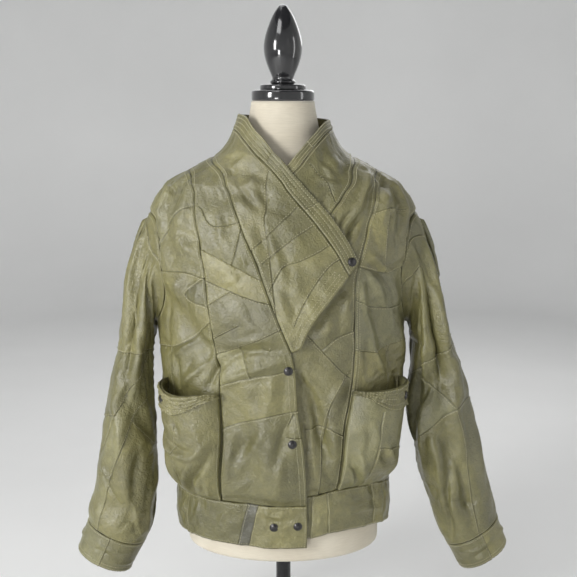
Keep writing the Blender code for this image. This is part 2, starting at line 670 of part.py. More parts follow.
def make_waistband():
    """Three lengths of waistband; each takes the columns of the panels above it."""
    pieces = (
        ("waistband_right_front", right_surface,
         ((-90, PRINCESS_RIGHT[0][0][0], SIDE_COLUMNS),
          (PRINCESS_RIGHT[0][0][0], FRONT_EDGE_RIGHT[0][0], CENTRE_COLUMNS))),
        ("waistband_left_front", left_surface,
         ((FRONT_EDGE_LEFT[0][0], PRINCESS_LEFT[0][0][0], CENTRE_COLUMNS),
          (PRINCESS_LEFT[0][0][0], 90, SIDE_COLUMNS))),
        ("waistband_back", back_surface, ((90, 270, BACK_COLUMNS),)),
    )
    for name, point_at, stretches in pieces:
        angles = [stretches[0][0]]
        for start, end, columns in stretches:
            angles += [start + (end - start) * (step + 1) / columns for step in range(columns)]
        outer, inner = [], []
        for row in range(WAISTBAND_ROWS + 1):
            height = WAIST_SEAM * row / WAISTBAND_ROWS
            points = [point_at(angle, height) for angle in angles]
            normals = [slope_normal(point_at, angle, height) for angle in angles]
            outer.append(points)
            inner.append([point - normal * LEATHER for point, normal in zip(points, normals)])
        for (row, column), shift in border_shifts(outer, SEAM_GAP / 2).items():
            outer[row][column] = outer[row][column] + shift
            inner[row][column] = inner[row][column] + shift
        panels[name] = Panel(outer, inner)
        leather_wall(name, outer, inner)


# ---------------------------------------------------------------- sleeves and cuffs

def armhole_start(side):
    """Start points, normals and in-hole directions round one armhole, armpit first."""
    front = chain(FRONT_ARMHOLE, ROWS[1:])
    back = chain(BACK_ARMHOLE_RIGHT if side < 0 else BACK_ARMHOLE_LEFT, ROWS[1:])
    if side > 0:
        front = [(-angle, height) for angle, height in front]
    front_surface = right_surface if side < 0 else left_surface
    loop = [(front_surface, place) for place in front]
    loop += [(back_surface, place) for place in reversed(back[1:-1])]
    points = [point_at(*place) for point_at, place in loop]
    normals = [slope_normal(point_at, *place) for point_at, place in loop]
    centre = sum(points, Vector()) / len(points)
    inward = []
    for at, point in enumerate(points):
        edge = (points[(at + 1) % len(points)] - points[at - 1]).normalized()
        across = normals[at].cross(edge).normalized()
        inward.append(across if across.dot(centre - point) > 0 else -across)
    return points, inward


def station_ring(side, station, count):
    """An oval section of a sleeve; it leans in the frontal plane."""
    lean = math.radians(station.lean)
    away = Vector((side * math.cos(lean), 0, math.sin(lean)))
    down = Vector((side * math.sin(lean), 0, -math.cos(lean)))
    centre = Vector((side * station.x, station.y, HEM_HEIGHT + station.height))
    ring = []
    for step in range(count):
        turn = 2 * math.pi * step / count
        ring.append(centre - away * station.half_width * math.cos(turn)
                    - Vector((0, station.half_depth * math.sin(turn), 0)))
    return ring, down


def hermite(start, start_way, end, end_way, part):
    square, cube = part * part, part * part * part
    return (start * (2 * cube - 3 * square + 1) + start_way * (cube - 2 * square + part)
            + end * (3 * square - 2 * cube) + end_way * (cube - square))


def sleeve_rings(side, stations):
    points, inward = armhole_start(side)
    count = len(points)
    first = [point + way * (SEAM_GAP / 2) for point, way in zip(points, inward)]
    target, down = station_ring(side, stations[0], count)
    outward = Vector((side, 0, SLEEVE_FALL)).normalized()
    rings = []
    for step in range(HEAD_RINGS):
        part = step / HEAD_RINGS
        ring = []
        for start, way, end in zip(first, inward, target):
            handle = (end - start).length * SLEEVE_TENSION
            leave = (outward * SLEEVE_OUT + way * SLEEVE_IN_HOLE).normalized() * handle
            ring.append(hermite(start, leave, end, down * handle, part))
        rings.append(ring)
    distances = [0.0]
    for one, two in zip(stations, stations[1:]):
        step = math.hypot(two.x - one.x, two.height - one.height)
        distances.append(distances[-1] + step)
    read_station = curve([(distance, *station) for distance, station in zip(distances, stations)])
    for step in range(SLEEVE_RINGS + 1):
        station = Station(*read_station(distances[-1] * step / SLEEVE_RINGS))
        rings.append(station_ring(side, station, count)[0])
    return rings


def level_ends(normals, ways):
    """Turns the normals of the end rings square to the seams there, so that walls meet flat."""
    for row, way in ways.items():
        normals[row] = [(normal - way * normal.dot(way)).normalized() for normal in normals[row]]


def tube_wall(name, rings, fold_rows, side, first_fixed, ways):
    """A tube with folds; its first ring can be kept where a seam needs it."""
    count = len(rings[0])
    if side > 0:
        rings = [[ring[-step % count] for step in range(count)] for ring in rings]
    plain = grid_normals(rings, True)
    travelled = [0.0] * count
    folded = []
    for row, ring in enumerate(rings):
        line = []
        for column, point in enumerate(ring):
            if row:
                travelled[column] += (point - rings[row - 1][column]).length
            turn = 360 * column / count
            if side > 0:
                turn = (360 - turn) % 360
            fade = smooth_step(row / 2) if first_fixed else 1.0
            fade *= smooth_step((len(rings) - 1 - row) / 2)
            push = fold_depth(fold_rows, turn, travelled[column], SLEEVE_RADIUS)
            line.append(point + plain[row][column] * push * fade)
        folded.append(line)
    normals = grid_normals(folded, True)
    level_ends(normals, ways)
    inner = [[point - normal * LEATHER for point, normal in zip(line, row_normals)]
             for line, row_normals in zip(folded, normals)]
    outer = [line + line[:1] for line in folded]
    inner = [line + line[:1] for line in inner]
    panels[name] = Panel(outer, inner)
    return leather_wall(name, outer, inner, closed=True)


def make_sleeve(name, side, stations, cuff, fold_rows):
    rings = sleeve_rings(side, stations)
    top = stations[-1]
    down = station_ring(side, top, 4)[1]
    tube_wall(name + "_sleeve", rings, fold_rows, side, True, {-1: down})
    end = Station(cuff.x, top.y, cuff.height, cuff.half_width, cuff.half_depth, cuff.lean)
    cuff_rings = []
    for step in range(CUFF_RINGS + 1):
        part = step / CUFF_RINGS
        between = Station(*[a + (b - a) * part for a, b in zip(top, end)])
        cuff_rings.append(station_ring(side, between, len(rings[0]))[0])
    cuff_rings[0] = [point + down * SEAM_GAP for point in cuff_rings[0]]
    tube_wall(name + "_cuff", cuff_rings, [], side, False, {0: down})


# ---------------------------------------------------------------- pockets

def pocket_lattice(side_name, row, half_column):
    """Outer point of the side panel at a row and a half column, counted from its princess seam."""
    grid = panels[side_name].outer
    last = len(grid[0]) - 1
    exact = half_column / 2 if side_name.startswith("left") else last - half_column / 2
    low = min(int(exact), last - 1)
    return grid[row][low].lerp(grid[row][low + 1], exact - low)


def pocket_out(across, up):
    """How far a pouch stands off its panel: shut at the sides and bottom, open at the top."""
    belly = math.sin(math.pi * across) ** POCKET_ROUNDNESS if 0 < across < 1 else 0.0
    rise = math.sin(math.pi / 2 * min(1.0, up / POCKET_FULL_FROM))
    return POCKET_BULGE * belly * rise


def pocket_share(side_name, column):
    """Share of the way from the princess seam to the outer edge of a pouch."""
    share = column / POCKET_HALF_COLUMNS
    return share if side_name.startswith("left") else 1 - share


def make_pocket(name, side_name):
    """A pouch with an open mouth."""
    base = [[pocket_lattice(side_name, row, column) for column in range(POCKET_HALF_COLUMNS + 1)]
            for row in range(POCKET_ROWS + 1)]
    if side_name.startswith("right"):
        base = [line[::-1] for line in base]
    outer, inner = [], []
    for row, (line, normals) in enumerate(zip(base, grid_normals(base, False))):
        outs = [pocket_out(pocket_share(side_name, column), row / POCKET_ROWS) + LEATHER + SEAM_GAP
                for column in range(POCKET_HALF_COLUMNS + 1)]
        outer.append([point + normal * out for point, normal, out in zip(line, normals, outs)])
        inner.append([point + normal * (out - LEATHER)
                      for point, normal, out in zip(line, normals, outs)])
    panels[name] = Panel(outer, inner)
    leather_wall(name, outer, inner)


def make_pocket_band(name, side_name, pocket_name):
    """The folded band round a mouth; it is deep at the side and runs out at the princess seam."""
    pouch = panels[pocket_name].outer
    normals = grid_normals(pouch, False)
    outer, inner = [], []
    for step in range(BAND_COLUMNS + 1):
        row_outer, row_inner = [], []
        for column in range(POCKET_HALF_COLUMNS + 1):
            share = pocket_share(side_name, column)
            swell = smooth_step(share / POCKET_BAND_FULL_FROM)
            deep = POCKET_BAND_TAPER + (1 - POCKET_BAND_TAPER) * swell
            row = POCKET_ROWS - POCKET_BAND_ROWS * deep * (1 - step / BAND_COLUMNS)
            low = min(int(row), POCKET_ROWS - 1)
            part = row - low
            point = pouch[low][column].lerp(pouch[low + 1][column], part)
            normal = normals[low][column].lerp(normals[low + 1][column], part).normalized()
            row_outer.append(point + normal * (LEATHER + POCKET_BAND_CLEAR))
            row_inner.append(point + normal * POCKET_BAND_CLEAR)
        outer.append(row_outer)
        inner.append(row_inner)
    panels[name] = Panel(outer, inner)
    leather_wall(name, outer, inner)


# ---------------------------------------------------------------- snaps

def turned_solid(name, profile, place, axis, look, segments):
    """A solid turned round an axis from (radius, height) points, closed at both ends."""
    maker = bmesh.new()
    chain_verts = [maker.verts.new((radius, 0, height)) for radius, height in profile]
    edges = [maker.edges.new(pair) for pair in zip(chain_verts, chain_verts[1:])]
    bmesh.ops.spin(maker, geom=chain_verts + edges, cent=(0, 0, 0), axis=(0, 0, 1),
                   angle=2 * math.pi, steps=segments, use_merge=True)
    bmesh.ops.remove_doubles(maker, verts=maker.verts, dist=0.00001)
    open_edges = [edge for edge in maker.edges if edge.is_boundary]
    if open_edges:
        bmesh.ops.holes_fill(maker, edges=open_edges, sides=0)
    bmesh.ops.recalc_face_normals(maker, faces=maker.faces)
    turn = Vector((0, 0, 1)).rotation_difference(axis).to_matrix().to_4x4()
    bmesh.ops.transform(maker, matrix=turn, verts=maker.verts)
    bmesh.ops.translate(maker, verts=maker.verts, vec=place)
    return add_object(name, maker, look)


def make_snap(name, place, axis):
    dome = [(SNAP_RADIUS, 0.0), (SNAP_RADIUS, SNAP_RIM_HEIGHT), (SNAP_CROWN_RADIUS, SNAP_CROWN_HEIGHT),
            (0.0, SNAP_HEIGHT)]
    turned_solid(name, dome, place, axis, (BRONZE, 0.35, 1.0), SNAP_SEGMENTS)


def make_snaps():
    places = (
        ("snap_lapel", lapel_surface, 30.1, 0.4948),
        ("snap_front_upper", right_surface, 2.4, 0.3199),
        ("snap_front_lower", right_surface, 4.2, 0.1951),
        ("snap_waist_inner", right_surface, -4.4, 0.0400),
        ("snap_waist_outer", right_surface, 7.3, 0.0417),
    )
    for name, point_at, angle, height in places:
        axis = slope_normal(point_at, angle, height)
        make_snap(name, point_at(angle, height) + axis * SNAP_CLEAR, axis)
    for side, column in (("right", POCKET_SNAP_COLUMN),
                         ("left", POCKET_HALF_COLUMNS - POCKET_SNAP_COLUMN)):
        band = panels[side + "_pocket_band"].outer
        axis = grid_normals(band, False)[1][column]
        make_snap(f"snap_{side}_pocket", band[1][column] + axis * SNAP_CLEAR, axis)


# ---------------------------------------------------------------- dress form and stand

def make_form():
    """The torso from hip to neck, capped flat at both ends."""
    tall = FORM_TOP - FORM_BOTTOM
    levels = [FORM_BOTTOM, FORM_BOTTOM + FORM_RIM]
    levels += [FORM_BOTTOM + tall * (row + 1) / FORM_ROWS for row in range(FORM_ROWS)]
    maker = bmesh.new()
    before = None
    for height in levels:
        half_width, front, back = read_form(height)
        ring = bmesh.ops.create_circle(maker, cap_ends=False, segments=FORM_SEGMENTS, radius=1.0)["verts"]
        for vert in ring:
            depth = front if vert.co.y < 0 else back
            vert.co = Vector((vert.co.x * half_width, vert.co.y * depth, HEM_HEIGHT + height))
        edges = {edge for vert in ring for edge in vert.link_edges
                 if edge.other_vert(vert) in ring}
        if before:
            bmesh.ops.bridge_loops(maker, edges=list(before) + list(edges))
        before = edges
    bmesh.ops.holes_fill(maker, edges=[edge for edge in maker.edges if edge.is_boundary], sides=0)
    bmesh.ops.recalc_face_normals(maker, faces=maker.faces)
    add_object("dress_form_torso", maker, (LINEN, 0.9))


def make_stand():
    up = Vector((0, 0, 1))
    gloss = (BLACK, 0.15)
    for name, (radius, low, high) in (("neck_cap_lower", CAP_LOWER), ("neck_cap_upper", CAP_UPPER)):
        ease = (high - low) * 0.3
        profile = [(0.0, low), (radius - ease / 2, low), (radius, low + ease), (radius, high - ease),
                   (radius - ease / 2, high), (0.0, high)]
        turned_solid(name, profile, Vector((0, 0, HEM_HEIGHT)), up, gloss, FORM_SEGMENTS)
    profile = [(0.0, FINIAL[0].height)] + [tuple(row) for row in FINIAL] + [(0.0, FINIAL_TOP)]
    turned_solid("finial", profile, Vector((0, 0, HEM_HEIGHT)), up, gloss, FINIAL_SEGMENTS)
    pole_top = HEM_HEIGHT + FORM_BOTTOM - SEAM_GAP
    pole_low = BASE_THICKNESS + SEAM_GAP
    profile = [(0.0, pole_low), (POLE_RADIUS, pole_low), (POLE_RADIUS, pole_top), (0.0, pole_top)]
    turned_solid("pole", profile, Vector(), up, gloss, FORM_SEGMENTS)
    profile = [(0.0, 0.0), (BASE_RADIUS, 0.0), (BASE_RADIUS, BASE_THICKNESS - BASE_CHAMFER),
               (BASE_RADIUS - BASE_CHAMFER, BASE_THICKNESS), (0.0, BASE_THICKNESS)]
    turned_solid("base", profile, Vector(), up, gloss, BASE_SEGMENTS)


def build():
    for item in list(bpy.data.objects):
        bpy.data.objects.remove(item, do_unlink=True)
    make_fronts()
    make_lapels()
    make_back()
    make_back_collar()
    make_waistband()
    make_sleeve("right", -1, RIGHT_STATIONS, RIGHT_CUFF, RIGHT_SLEEVE_FOLDS)
    make_sleeve("left", 1, LEFT_STATIONS, LEFT_CUFF, LEFT_SLEEVE_FOLDS)
    for side in ("right", "left"):
        make_pocket(side + "_pocket", side + "_front_side")
        make_pocket_band(side + "_pocket_band", side + "_front_side", side + "_pocket")
    make_snaps()
    make_form()
    make_stand()


build()
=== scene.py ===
"""Looks of the olive leather patchwork jacket on its dress form.

Each piece of leather is a thin shell on the form of its CAD solid, cut finer: the same hollow
body surface, with the creases, seams, stitches and patches that the solids leave out.
A place on the body is an angle round it (0 front, 90 the wearer's left, 180 back) and a height
above the hem; flattened, it is a point in metres, which is also the piece's UV map.
"""

import math
from collections import namedtuple

import bmesh
import bpy
import numpy as np
from mathutils import Matrix, Vector
from mathutils.bvhtree import BVHTree


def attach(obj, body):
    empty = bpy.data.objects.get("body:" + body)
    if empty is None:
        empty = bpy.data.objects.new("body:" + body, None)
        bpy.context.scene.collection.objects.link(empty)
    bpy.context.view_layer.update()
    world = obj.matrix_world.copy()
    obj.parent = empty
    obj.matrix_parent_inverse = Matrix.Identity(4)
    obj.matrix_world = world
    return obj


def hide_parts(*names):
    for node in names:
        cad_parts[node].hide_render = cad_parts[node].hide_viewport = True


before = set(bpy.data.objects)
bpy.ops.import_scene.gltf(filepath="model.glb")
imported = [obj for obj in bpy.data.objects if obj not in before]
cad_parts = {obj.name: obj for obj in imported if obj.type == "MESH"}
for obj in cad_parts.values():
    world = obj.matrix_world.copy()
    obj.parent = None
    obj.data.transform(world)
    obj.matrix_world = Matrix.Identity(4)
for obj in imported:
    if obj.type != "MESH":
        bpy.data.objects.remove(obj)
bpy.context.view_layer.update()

# ---------------------------------------------------------------- sizes shared with the solids
LEATHER = 0.0022            # thickness of the leather wall
SEAM_GAP = 0.0003           # left between two pieces that are sewn together
HEM_HEIGHT = 0.290          # hem at the front centre above the floor
WAIST_SEAM = 0.078          # depth of the waistband
ARMPIT = 0.370              # heights from here on are above the hem
LAPEL_TIP = 0.350
SHOULDER_TIP = 0.568
SHOULDER_MID = 0.637        # top of the princess seams
NECK_POINT = 0.6595         # top of the lapel seams
COLLAR_TOP_RIGHT = 0.732
COLLAR_TOP_LEFT = 0.722
COLLAR_TOP_BACK = 0.718
NECK_BACK = 0.650
OVERLAP_OUT = 0.0050        # the wearer's right front lies this far outside the left
LAPEL_LIFT = 0.0085         # the free lower edge of the lapel stands off by this much more
LAPEL_LIFT_ANGLE = 16.0     # width of the lifted strip, in degrees
LAPEL_LIFT_FROM = 0.345
LAPEL_LIFT_SPAN = 0.150     # from the lapel tip up to its snap
NECK_DIP_FROM = 0.560       # the back neck seam dips at its middle; the rows above here follow
NECK_DIP_ROUNDNESS = 0.8
POCKET_BULGE = 0.036
POCKET_ROUNDNESS = 0.6      # 1 is a sine across the pouch, less is fuller
POCKET_FULL_FROM = 0.45     # share of its height from which a pouch is at its fullest
POCKET_BAND_CLEAR = 0.0009  # a folded edge stands off the pouch that it wraps
SNAP_RADIUS = 0.0075
SNAP_HEIGHT = 0.0034
FORM_BOTTOM = -0.0325
FORM_TOP = 0.7525
FORM_RIM = 0.008            # height of the rounded rim at the form's bottom
FORM_COLUMNS = 128

MEAN_RADIUS = 0.170         # turns an angle round the body into a length
SLEEVE_RADIUS = 0.055
SAMPLE = 0.002              # step used to measure slopes

Section = namedtuple("Section", "height half_width front_depth back_depth")
BODY_SECTIONS = [Section(*row) for row in (
    (-0.040, 0.189, 0.121, 0.118),
    (0.000, 0.191, 0.124, 0.120),
    (0.040, 0.194, 0.126, 0.122),
    (0.078, 0.191, 0.127, 0.122),
    (0.100, 0.198, 0.140, 0.135),
    (0.140, 0.206, 0.147, 0.143),
    (0.200, 0.210, 0.148, 0.144),
    (0.260, 0.2135, 0.147, 0.142),
    (0.330, 0.2135, 0.148, 0.138),
    (0.400, 0.2125, 0.150, 0.135),
    (0.460, 0.2170, 0.146, 0.133),
    (0.510, 0.2220, 0.138, 0.131),
    (0.550, 0.2275, 0.128, 0.127),
    (0.568, 0.2287, 0.122, 0.125),
    (0.5856, 0.2225, 0.116, 0.121),
    (0.604, 0.2095, 0.110, 0.116),
    (0.616, 0.2000, 0.107, 0.112),
    (0.627, 0.1810, 0.103, 0.108),
    (0.639, 0.1560, 0.100, 0.103),
    (0.6505, 0.1370, 0.098, 0.098),
    (0.6595, 0.1180, 0.096, 0.094),
    (0.680, 0.0975, 0.090, 0.086),
    (0.700, 0.0865, 0.084, 0.081),
    (0.735, 0.0740, 0.076, 0.075),
)]

# Each seam is a chain of stretches; a stretch lists (angle, height) from the hem up
SIDE_RIGHT = ((-90, WAIST_SEAM), (-90, ARMPIT))
ARMHOLE_LOW = ((-90, ARMPIT), (-81, 0.385), (-74, 0.415), (-68, 0.460), (-66.5, 0.485))
ARMHOLE_HIGH = ((-66.5, 0.485), (-67, 0.520), (-74, 0.550), (-82, 0.563), (-90, SHOULDER_TIP))
PRINCESS_RIGHT = (
    ((-33.3, WAIST_SEAM), (-29.2, 0.190), (-29.5, 0.280), (-31.0, 0.325), (-33.3, LAPEL_TIP)),
    ((-33.3, LAPEL_TIP), (-35.2, 0.436), (-36.5, 0.490)),
    ((-36.5, 0.490), (-38.2, 0.541), (-40.8, 0.583), (-48.0, 0.615), (-66.0, 0.632),
     (-90, SHOULDER_MID)),
)
PRINCESS_LEFT = (
    ((29.1, WAIST_SEAM), (28.8, 0.190), (30.9, 0.2455), (33.2, 0.300), (34.1, LAPEL_TIP)),
    ((34.1, LAPEL_TIP), (33.8, 0.4155), (33.5, 0.4568), (34.7, 0.4907)),
    ((34.7, 0.4907), (37.4, 0.5289), (42.1, 0.5811), (53.8, 0.6202), (70.0, 0.633),
     (90, SHOULDER_MID)),
)
FRONT_EDGE_RIGHT = ((12.3, WAIST_SEAM), (9.5, 0.186), (6.8, 0.248), (5.7, 0.310), (3.8, LAPEL_TIP))
FRONT_EDGE_LEFT = ((-5.0, WAIST_SEAM), (-5.0, LAPEL_TIP))
LAPEL_SEAM_RIGHT = (
    ((3.8, LAPEL_TIP), (-5.6, 0.4367), (-10.6, 0.492)),
    ((-10.6, 0.492), (-15.5, 0.5344), (-20.1, 0.5786), (-28.6, 0.6184), (-40.8, 0.639),
     (-62.0, 0.652), (-90, NECK_POINT)),
)
LAPEL_SEAM_LEFT = (
    ((-5.0, LAPEL_TIP), (5.6, 0.4367), (10.6, 0.492)),
    ((10.6, 0.492), (15.0, 0.540), (19.7, 0.5708), (25.5, 0.5924), (33.0, 0.615),
     (48.0, 0.639), (65.0, 0.652), (90, NECK_POINT)),
)
LAPEL_EDGE_LOW = ((8.0, 0.357), (12.5, 0.3953), (20.9, 0.4366), (29.0, 0.472))
BAND_SEAM_RIGHT = (
    (29.0, 0.472), (22.5, 0.512), (12.5, 0.560), (3.0, 0.6041), (-1.5, 0.6266), (-10.1, 0.6488),
    (-25.1, 0.6685), (-41.0, 0.686), (-62.0, 0.702), (-90, 0.707),
)
LAPEL_EDGE_HIGH = (
    (34.1, 0.4924), (28.5, 0.5255), (21.0, 0.5628), (13.5, 0.5995), (2.3, 0.6508), (-8.5, 0.673),
    (-20.5, 0.6933), (-35.0, 0.7095), (-54.0, 0.7288), (-90, COLLAR_TOP_RIGHT),
)
LEFT_EDGE_LOW = ((-9.0, 0.357), (-12.0, 0.420), (-9.0, 0.500))
LEFT_BAND_SEAM = (
    (-9.0, 0.500), (-9.0, 0.570), (-4.0, 0.612), (7.5, 0.640), (19.0, 0.6615), (37.0, 0.684),
    (60.0, 0.701), (90, 0.706),
)
LEFT_EDGE_HIGH = (
    (-17.0, 0.500), (-17.0, 0.570), (-11.0, 0.620), (3.0, 0.6508), (15.0, 0.6729),
    (33.9, 0.697), (59.0, 0.7174), (90, COLLAR_TOP_LEFT),
)

# The left front hangs a little higher than the right one: (angle, lift of the hem)
HEM_LIFT = ((-20, 0.012), (14, 0.014), (30, 0.021), (50, 0.020), (90, 0.006), (140, 0.0), (270, 0.0))
LIFT_FADES_FROM = 0.085
LIFT_ENDS_AT = 0.350

# Edge of the left front where the right one covers it: (height, angle)
COVERED_EDGE = ((-0.04, -5), (0.350, -5), (0.500, -17), (0.570, -17), (0.620, -11), (0.6508, 3),
                (0.6729, 15), (0.697, 34), (0.735, 75))
COVER_BLEND_FAR = 15.0
COVER_BLEND_NEAR = 3.0

Fold = namedtuple("Fold", "angle_from height_from angle_to height_to half_width depth")


def folds(*rows):
    return [Fold(*row) for row in rows]


RIGHT_FRONT_FOLDS = folds(
    (-80, 0.606, -66, 0.530, 0.017, -0.011),
    (-62, 0.618, -58, 0.530, 0.017, -0.010),
    (-71, 0.600, -63, 0.490, 0.018, 0.010),
    (-52, 0.600, -48, 0.500, 0.018, 0.006),
    (-66, 0.470, -42, 0.425, 0.022, 0.009),
    (-62, 0.425, -42, 0.360, 0.022, -0.010),
    (-86, 0.400, -72, 0.300, 0.022, 0.010),
    (-44, 0.368, -24, 0.335, 0.022, -0.009),
    (-58, 0.320, -36, 0.272, 0.022, 0.006),
    (-78, 0.345, -60, 0.315, 0.020, -0.007),
    (-30, 0.612, -20, 0.585, 0.018, -0.005),
    (-12, 0.580, 4, 0.560, 0.018, 0.004),
    (-24, 0.270, -14, 0.100, 0.020, -0.006),
    (-8, 0.230, 0, 0.100, 0.020, 0.005),
    (-28, 0.420, -6, 0.385, 0.022, 0.005),
)
LEFT_FRONT_FOLDS = folds(
    (80, 0.608, 68, 0.530, 0.017, -0.011),
    (64, 0.618, 58, 0.545, 0.017, -0.010),
    (72, 0.600, 64, 0.490, 0.018, 0.009),
    (58, 0.606, 34, 0.560, 0.017, 0.011),
    (46, 0.585, 32, 0.545, 0.016, -0.013),
    (43, 0.497, 62, 0.425, 0.020, 0.010),
    (40, 0.490, 60, 0.455, 0.018, -0.007),
    (60, 0.400, 76, 0.310, 0.022, 0.009),
    (46, 0.400, 60, 0.320, 0.020, -0.009),
    (10, 0.300, 19, 0.150, 0.019, -0.011),
    (23, 0.330, 27, 0.150, 0.019, 0.006),
    (34, 0.140, 36, 0.085, 0.016, -0.005),
)
BACK_FOLDS = folds(
    (102, 0.604, 120, 0.500, 0.019, -0.010),
    (124, 0.600, 134, 0.440, 0.024, 0.010),
    (114, 0.460, 150, 0.370, 0.026, -0.010),
    (110, 0.400, 142, 0.300, 0.026, 0.010),
    (258, 0.604, 242, 0.490, 0.019, -0.010),
    (236, 0.600, 226, 0.450, 0.024, 0.010),
    (246, 0.450, 210, 0.380, 0.026, -0.008),
    (250, 0.390, 216, 0.290, 0.026, 0.010),
    (168, 0.320, 176, 0.100, 0.024, 0.008),
    (196, 0.280, 190, 0.100, 0.024, -0.008),
    (150, 0.260, 146, 0.100, 0.024, -0.007),
    (214, 0.250, 220, 0.100, 0.024, 0.007),
    (122, 0.230, 118, 0.100, 0.022, 0.007),
    (240, 0.220, 246, 0.100, 0.022, -0.007),
    (150, 0.560, 205, 0.520, 0.026, 0.006),
)

# A sleeve leaves the armhole this way: a mix of the way out of the hole and of the way into it
SLEEVE_OUT = 0.62
SLEEVE_IN_HOLE = 0.72
SLEEVE_FALL = -0.25         # the way out drops by this much
SLEEVE_TENSION = 0.95       # length of the curve's handles, as a share of its span

# A sleeve's stations run from the upper arm to the cuff seam; x is measured away from the body
Station = namedtuple("Station", "x y height half_width half_depth lean")
RIGHT_STATIONS = [Station(*row) for row in (
    (0.2590, 0.012, 0.345, 0.0315, 0.066, 14),
    (0.2640, 0.008, 0.310, 0.0320, 0.064, 12),
    (0.2738, 0.002, 0.235, 0.0405, 0.059, 8),
    (0.2785, -0.004, 0.139, 0.0510, 0.057, 8),
    (0.2870, -0.008, 0.057, 0.0560, 0.054, 12),
    (0.2955, -0.011, 0.012, 0.0590, 0.053, 19),
    (0.3030, -0.012, -0.014, 0.0545, 0.049, 23.5),
)]
LEFT_STATIONS = [Station(*row) for row in (
    (0.2620, 0.012, 0.345, 0.0350, 0.068, 16),
    (0.2670, 0.008, 0.305, 0.0410, 0.066, 14),
    (0.2760, 0.000, 0.225, 0.0560, 0.062, 14),
    (0.2975, -0.006, 0.131, 0.0590, 0.057, 16),
    (0.3180, -0.010, 0.060, 0.0570, 0.054, 22),
    (0.3330, -0.012, 0.015, 0.0565, 0.052, 28),
    (0.3427, -0.012, -0.011, 0.0520, 0.048, 31),
)]
Cuff = namedtuple("Cuff", "x height half_width half_depth lean")
RIGHT_CUFF = Cuff(0.3274, -0.069, 0.0515, 0.045, 24)
LEFT_CUFF = Cuff(0.3655, -0.060, 0.0480, 0.044, 31)

# Folds on a sleeve: angle round it (0 beside the body, 90 front, 180 outside), length down it
RIGHT_SLEEVE_FOLDS = folds(
    (122, 0.03, 130, 0.20, 0.014, 0.010),
    (97, 0.03, 94, 0.25, 0.014, -0.011),
    (66, 0.05, 72, 0.26, 0.015, 0.010),
    (152, 0.00, 154, 0.08, 0.012, -0.007),
    (205, 0.00, 200, 0.09, 0.012, -0.007),
    (240, 0.03, 236, 0.22, 0.018, 0.010),
    (268, 0.05, 288, 0.25, 0.018, -0.010),
    (34, 0.24, 110, 0.31, 0.018, -0.009),
    (118, 0.29, 85, 0.44, 0.020, 0.009),
    (255, 0.30, 215, 0.42, 0.020, -0.010),
    (70, 0.46, 120, 0.52, 0.016, -0.007),
    (250, 0.47, 200, 0.53, 0.016, -0.006),
)
LEFT_SLEEVE_FOLDS = folds(
    (128, 0.02, 120, 0.32, 0.015, 0.013),
    (102, 0.03, 97, 0.29, 0.015, -0.014),
    (74, 0.06, 68, 0.20, 0.016, 0.010),
    (152, 0.02, 148, 0.24, 0.013, -0.010),
    (205, 0.00, 202, 0.09, 0.012, -0.007),
    (238, 0.04, 236, 0.24, 0.018, 0.010),
    (264, 0.06, 286, 0.26, 0.018, -0.010),
    (26, 0.19, 90, 0.26, 0.018, -0.014),
    (46, 0.28, 62, 0.38, 0.020, 0.011),
    (90, 0.33, 94, 0.55, 0.014, -0.013),
    (72, 0.34, 76, 0.54, 0.016, 0.010),
    (132, 0.27, 110, 0.40, 0.018, 0.010),
    (255, 0.32, 218, 0.44, 0.020, -0.011),
)

# A pouch covers these rows and half columns of its side panel, from the princess seam outwards
POCKET_ROWS = 8
POCKET_HALF_COLUMNS = 10
POCKET_BAND_ROWS = 1.7      # deepest part of the folded band, in rows of the pouch
POCKET_BAND_TAPER = 0.16    # its depth at the princess seam, as a share of the deepest
POCKET_BAND_FULL_FROM = 0.55    # share of the way out from which it has its full depth

Turned = namedtuple("Turned", "radius height")
FINIAL = [Turned(*row) for row in (
    (0.0200, 0.7804), (0.0215, 0.7850), (0.0180, 0.7900), (0.0205, 0.7975), (0.0262, 0.8110),
    (0.0310, 0.8270), (0.0325, 0.8430), (0.0300, 0.8600), (0.0235, 0.8800), (0.0155, 0.8970),
    (0.0070, 0.9090),
)]
FINIAL_TOP = 0.9123
CAP_LOWER = (0.0535, 0.7530, 0.7710)
CAP_UPPER = (0.0390, 0.7713, 0.7800)

FORM_SECTIONS = [Section(*row) for row in (
    (FORM_BOTTOM, 0.168, 0.113, 0.108),
    (FORM_BOTTOM + FORM_RIM, 0.172, 0.116, 0.111),
    (0.050, 0.170, 0.115, 0.112),
    (0.130, 0.155, 0.104, 0.106),
    (0.220, 0.132, 0.092, 0.092),
    (0.280, 0.128, 0.092, 0.088),
    (0.360, 0.145, 0.108, 0.096),
    (0.430, 0.160, 0.116, 0.104),
    (0.500, 0.166, 0.108, 0.108),
    (0.555, 0.168, 0.094, 0.104),
    (0.590, 0.156, 0.084, 0.096),
    (0.618, 0.132, 0.077, 0.086),
    (0.640, 0.104, 0.072, 0.076),
    (0.662, 0.080, 0.066, 0.068),
    (0.690, 0.0655, 0.060, 0.062),
    (0.726, 0.0580, 0.056, 0.057),
    (FORM_TOP, 0.0535, 0.0535, 0.0535),
)]


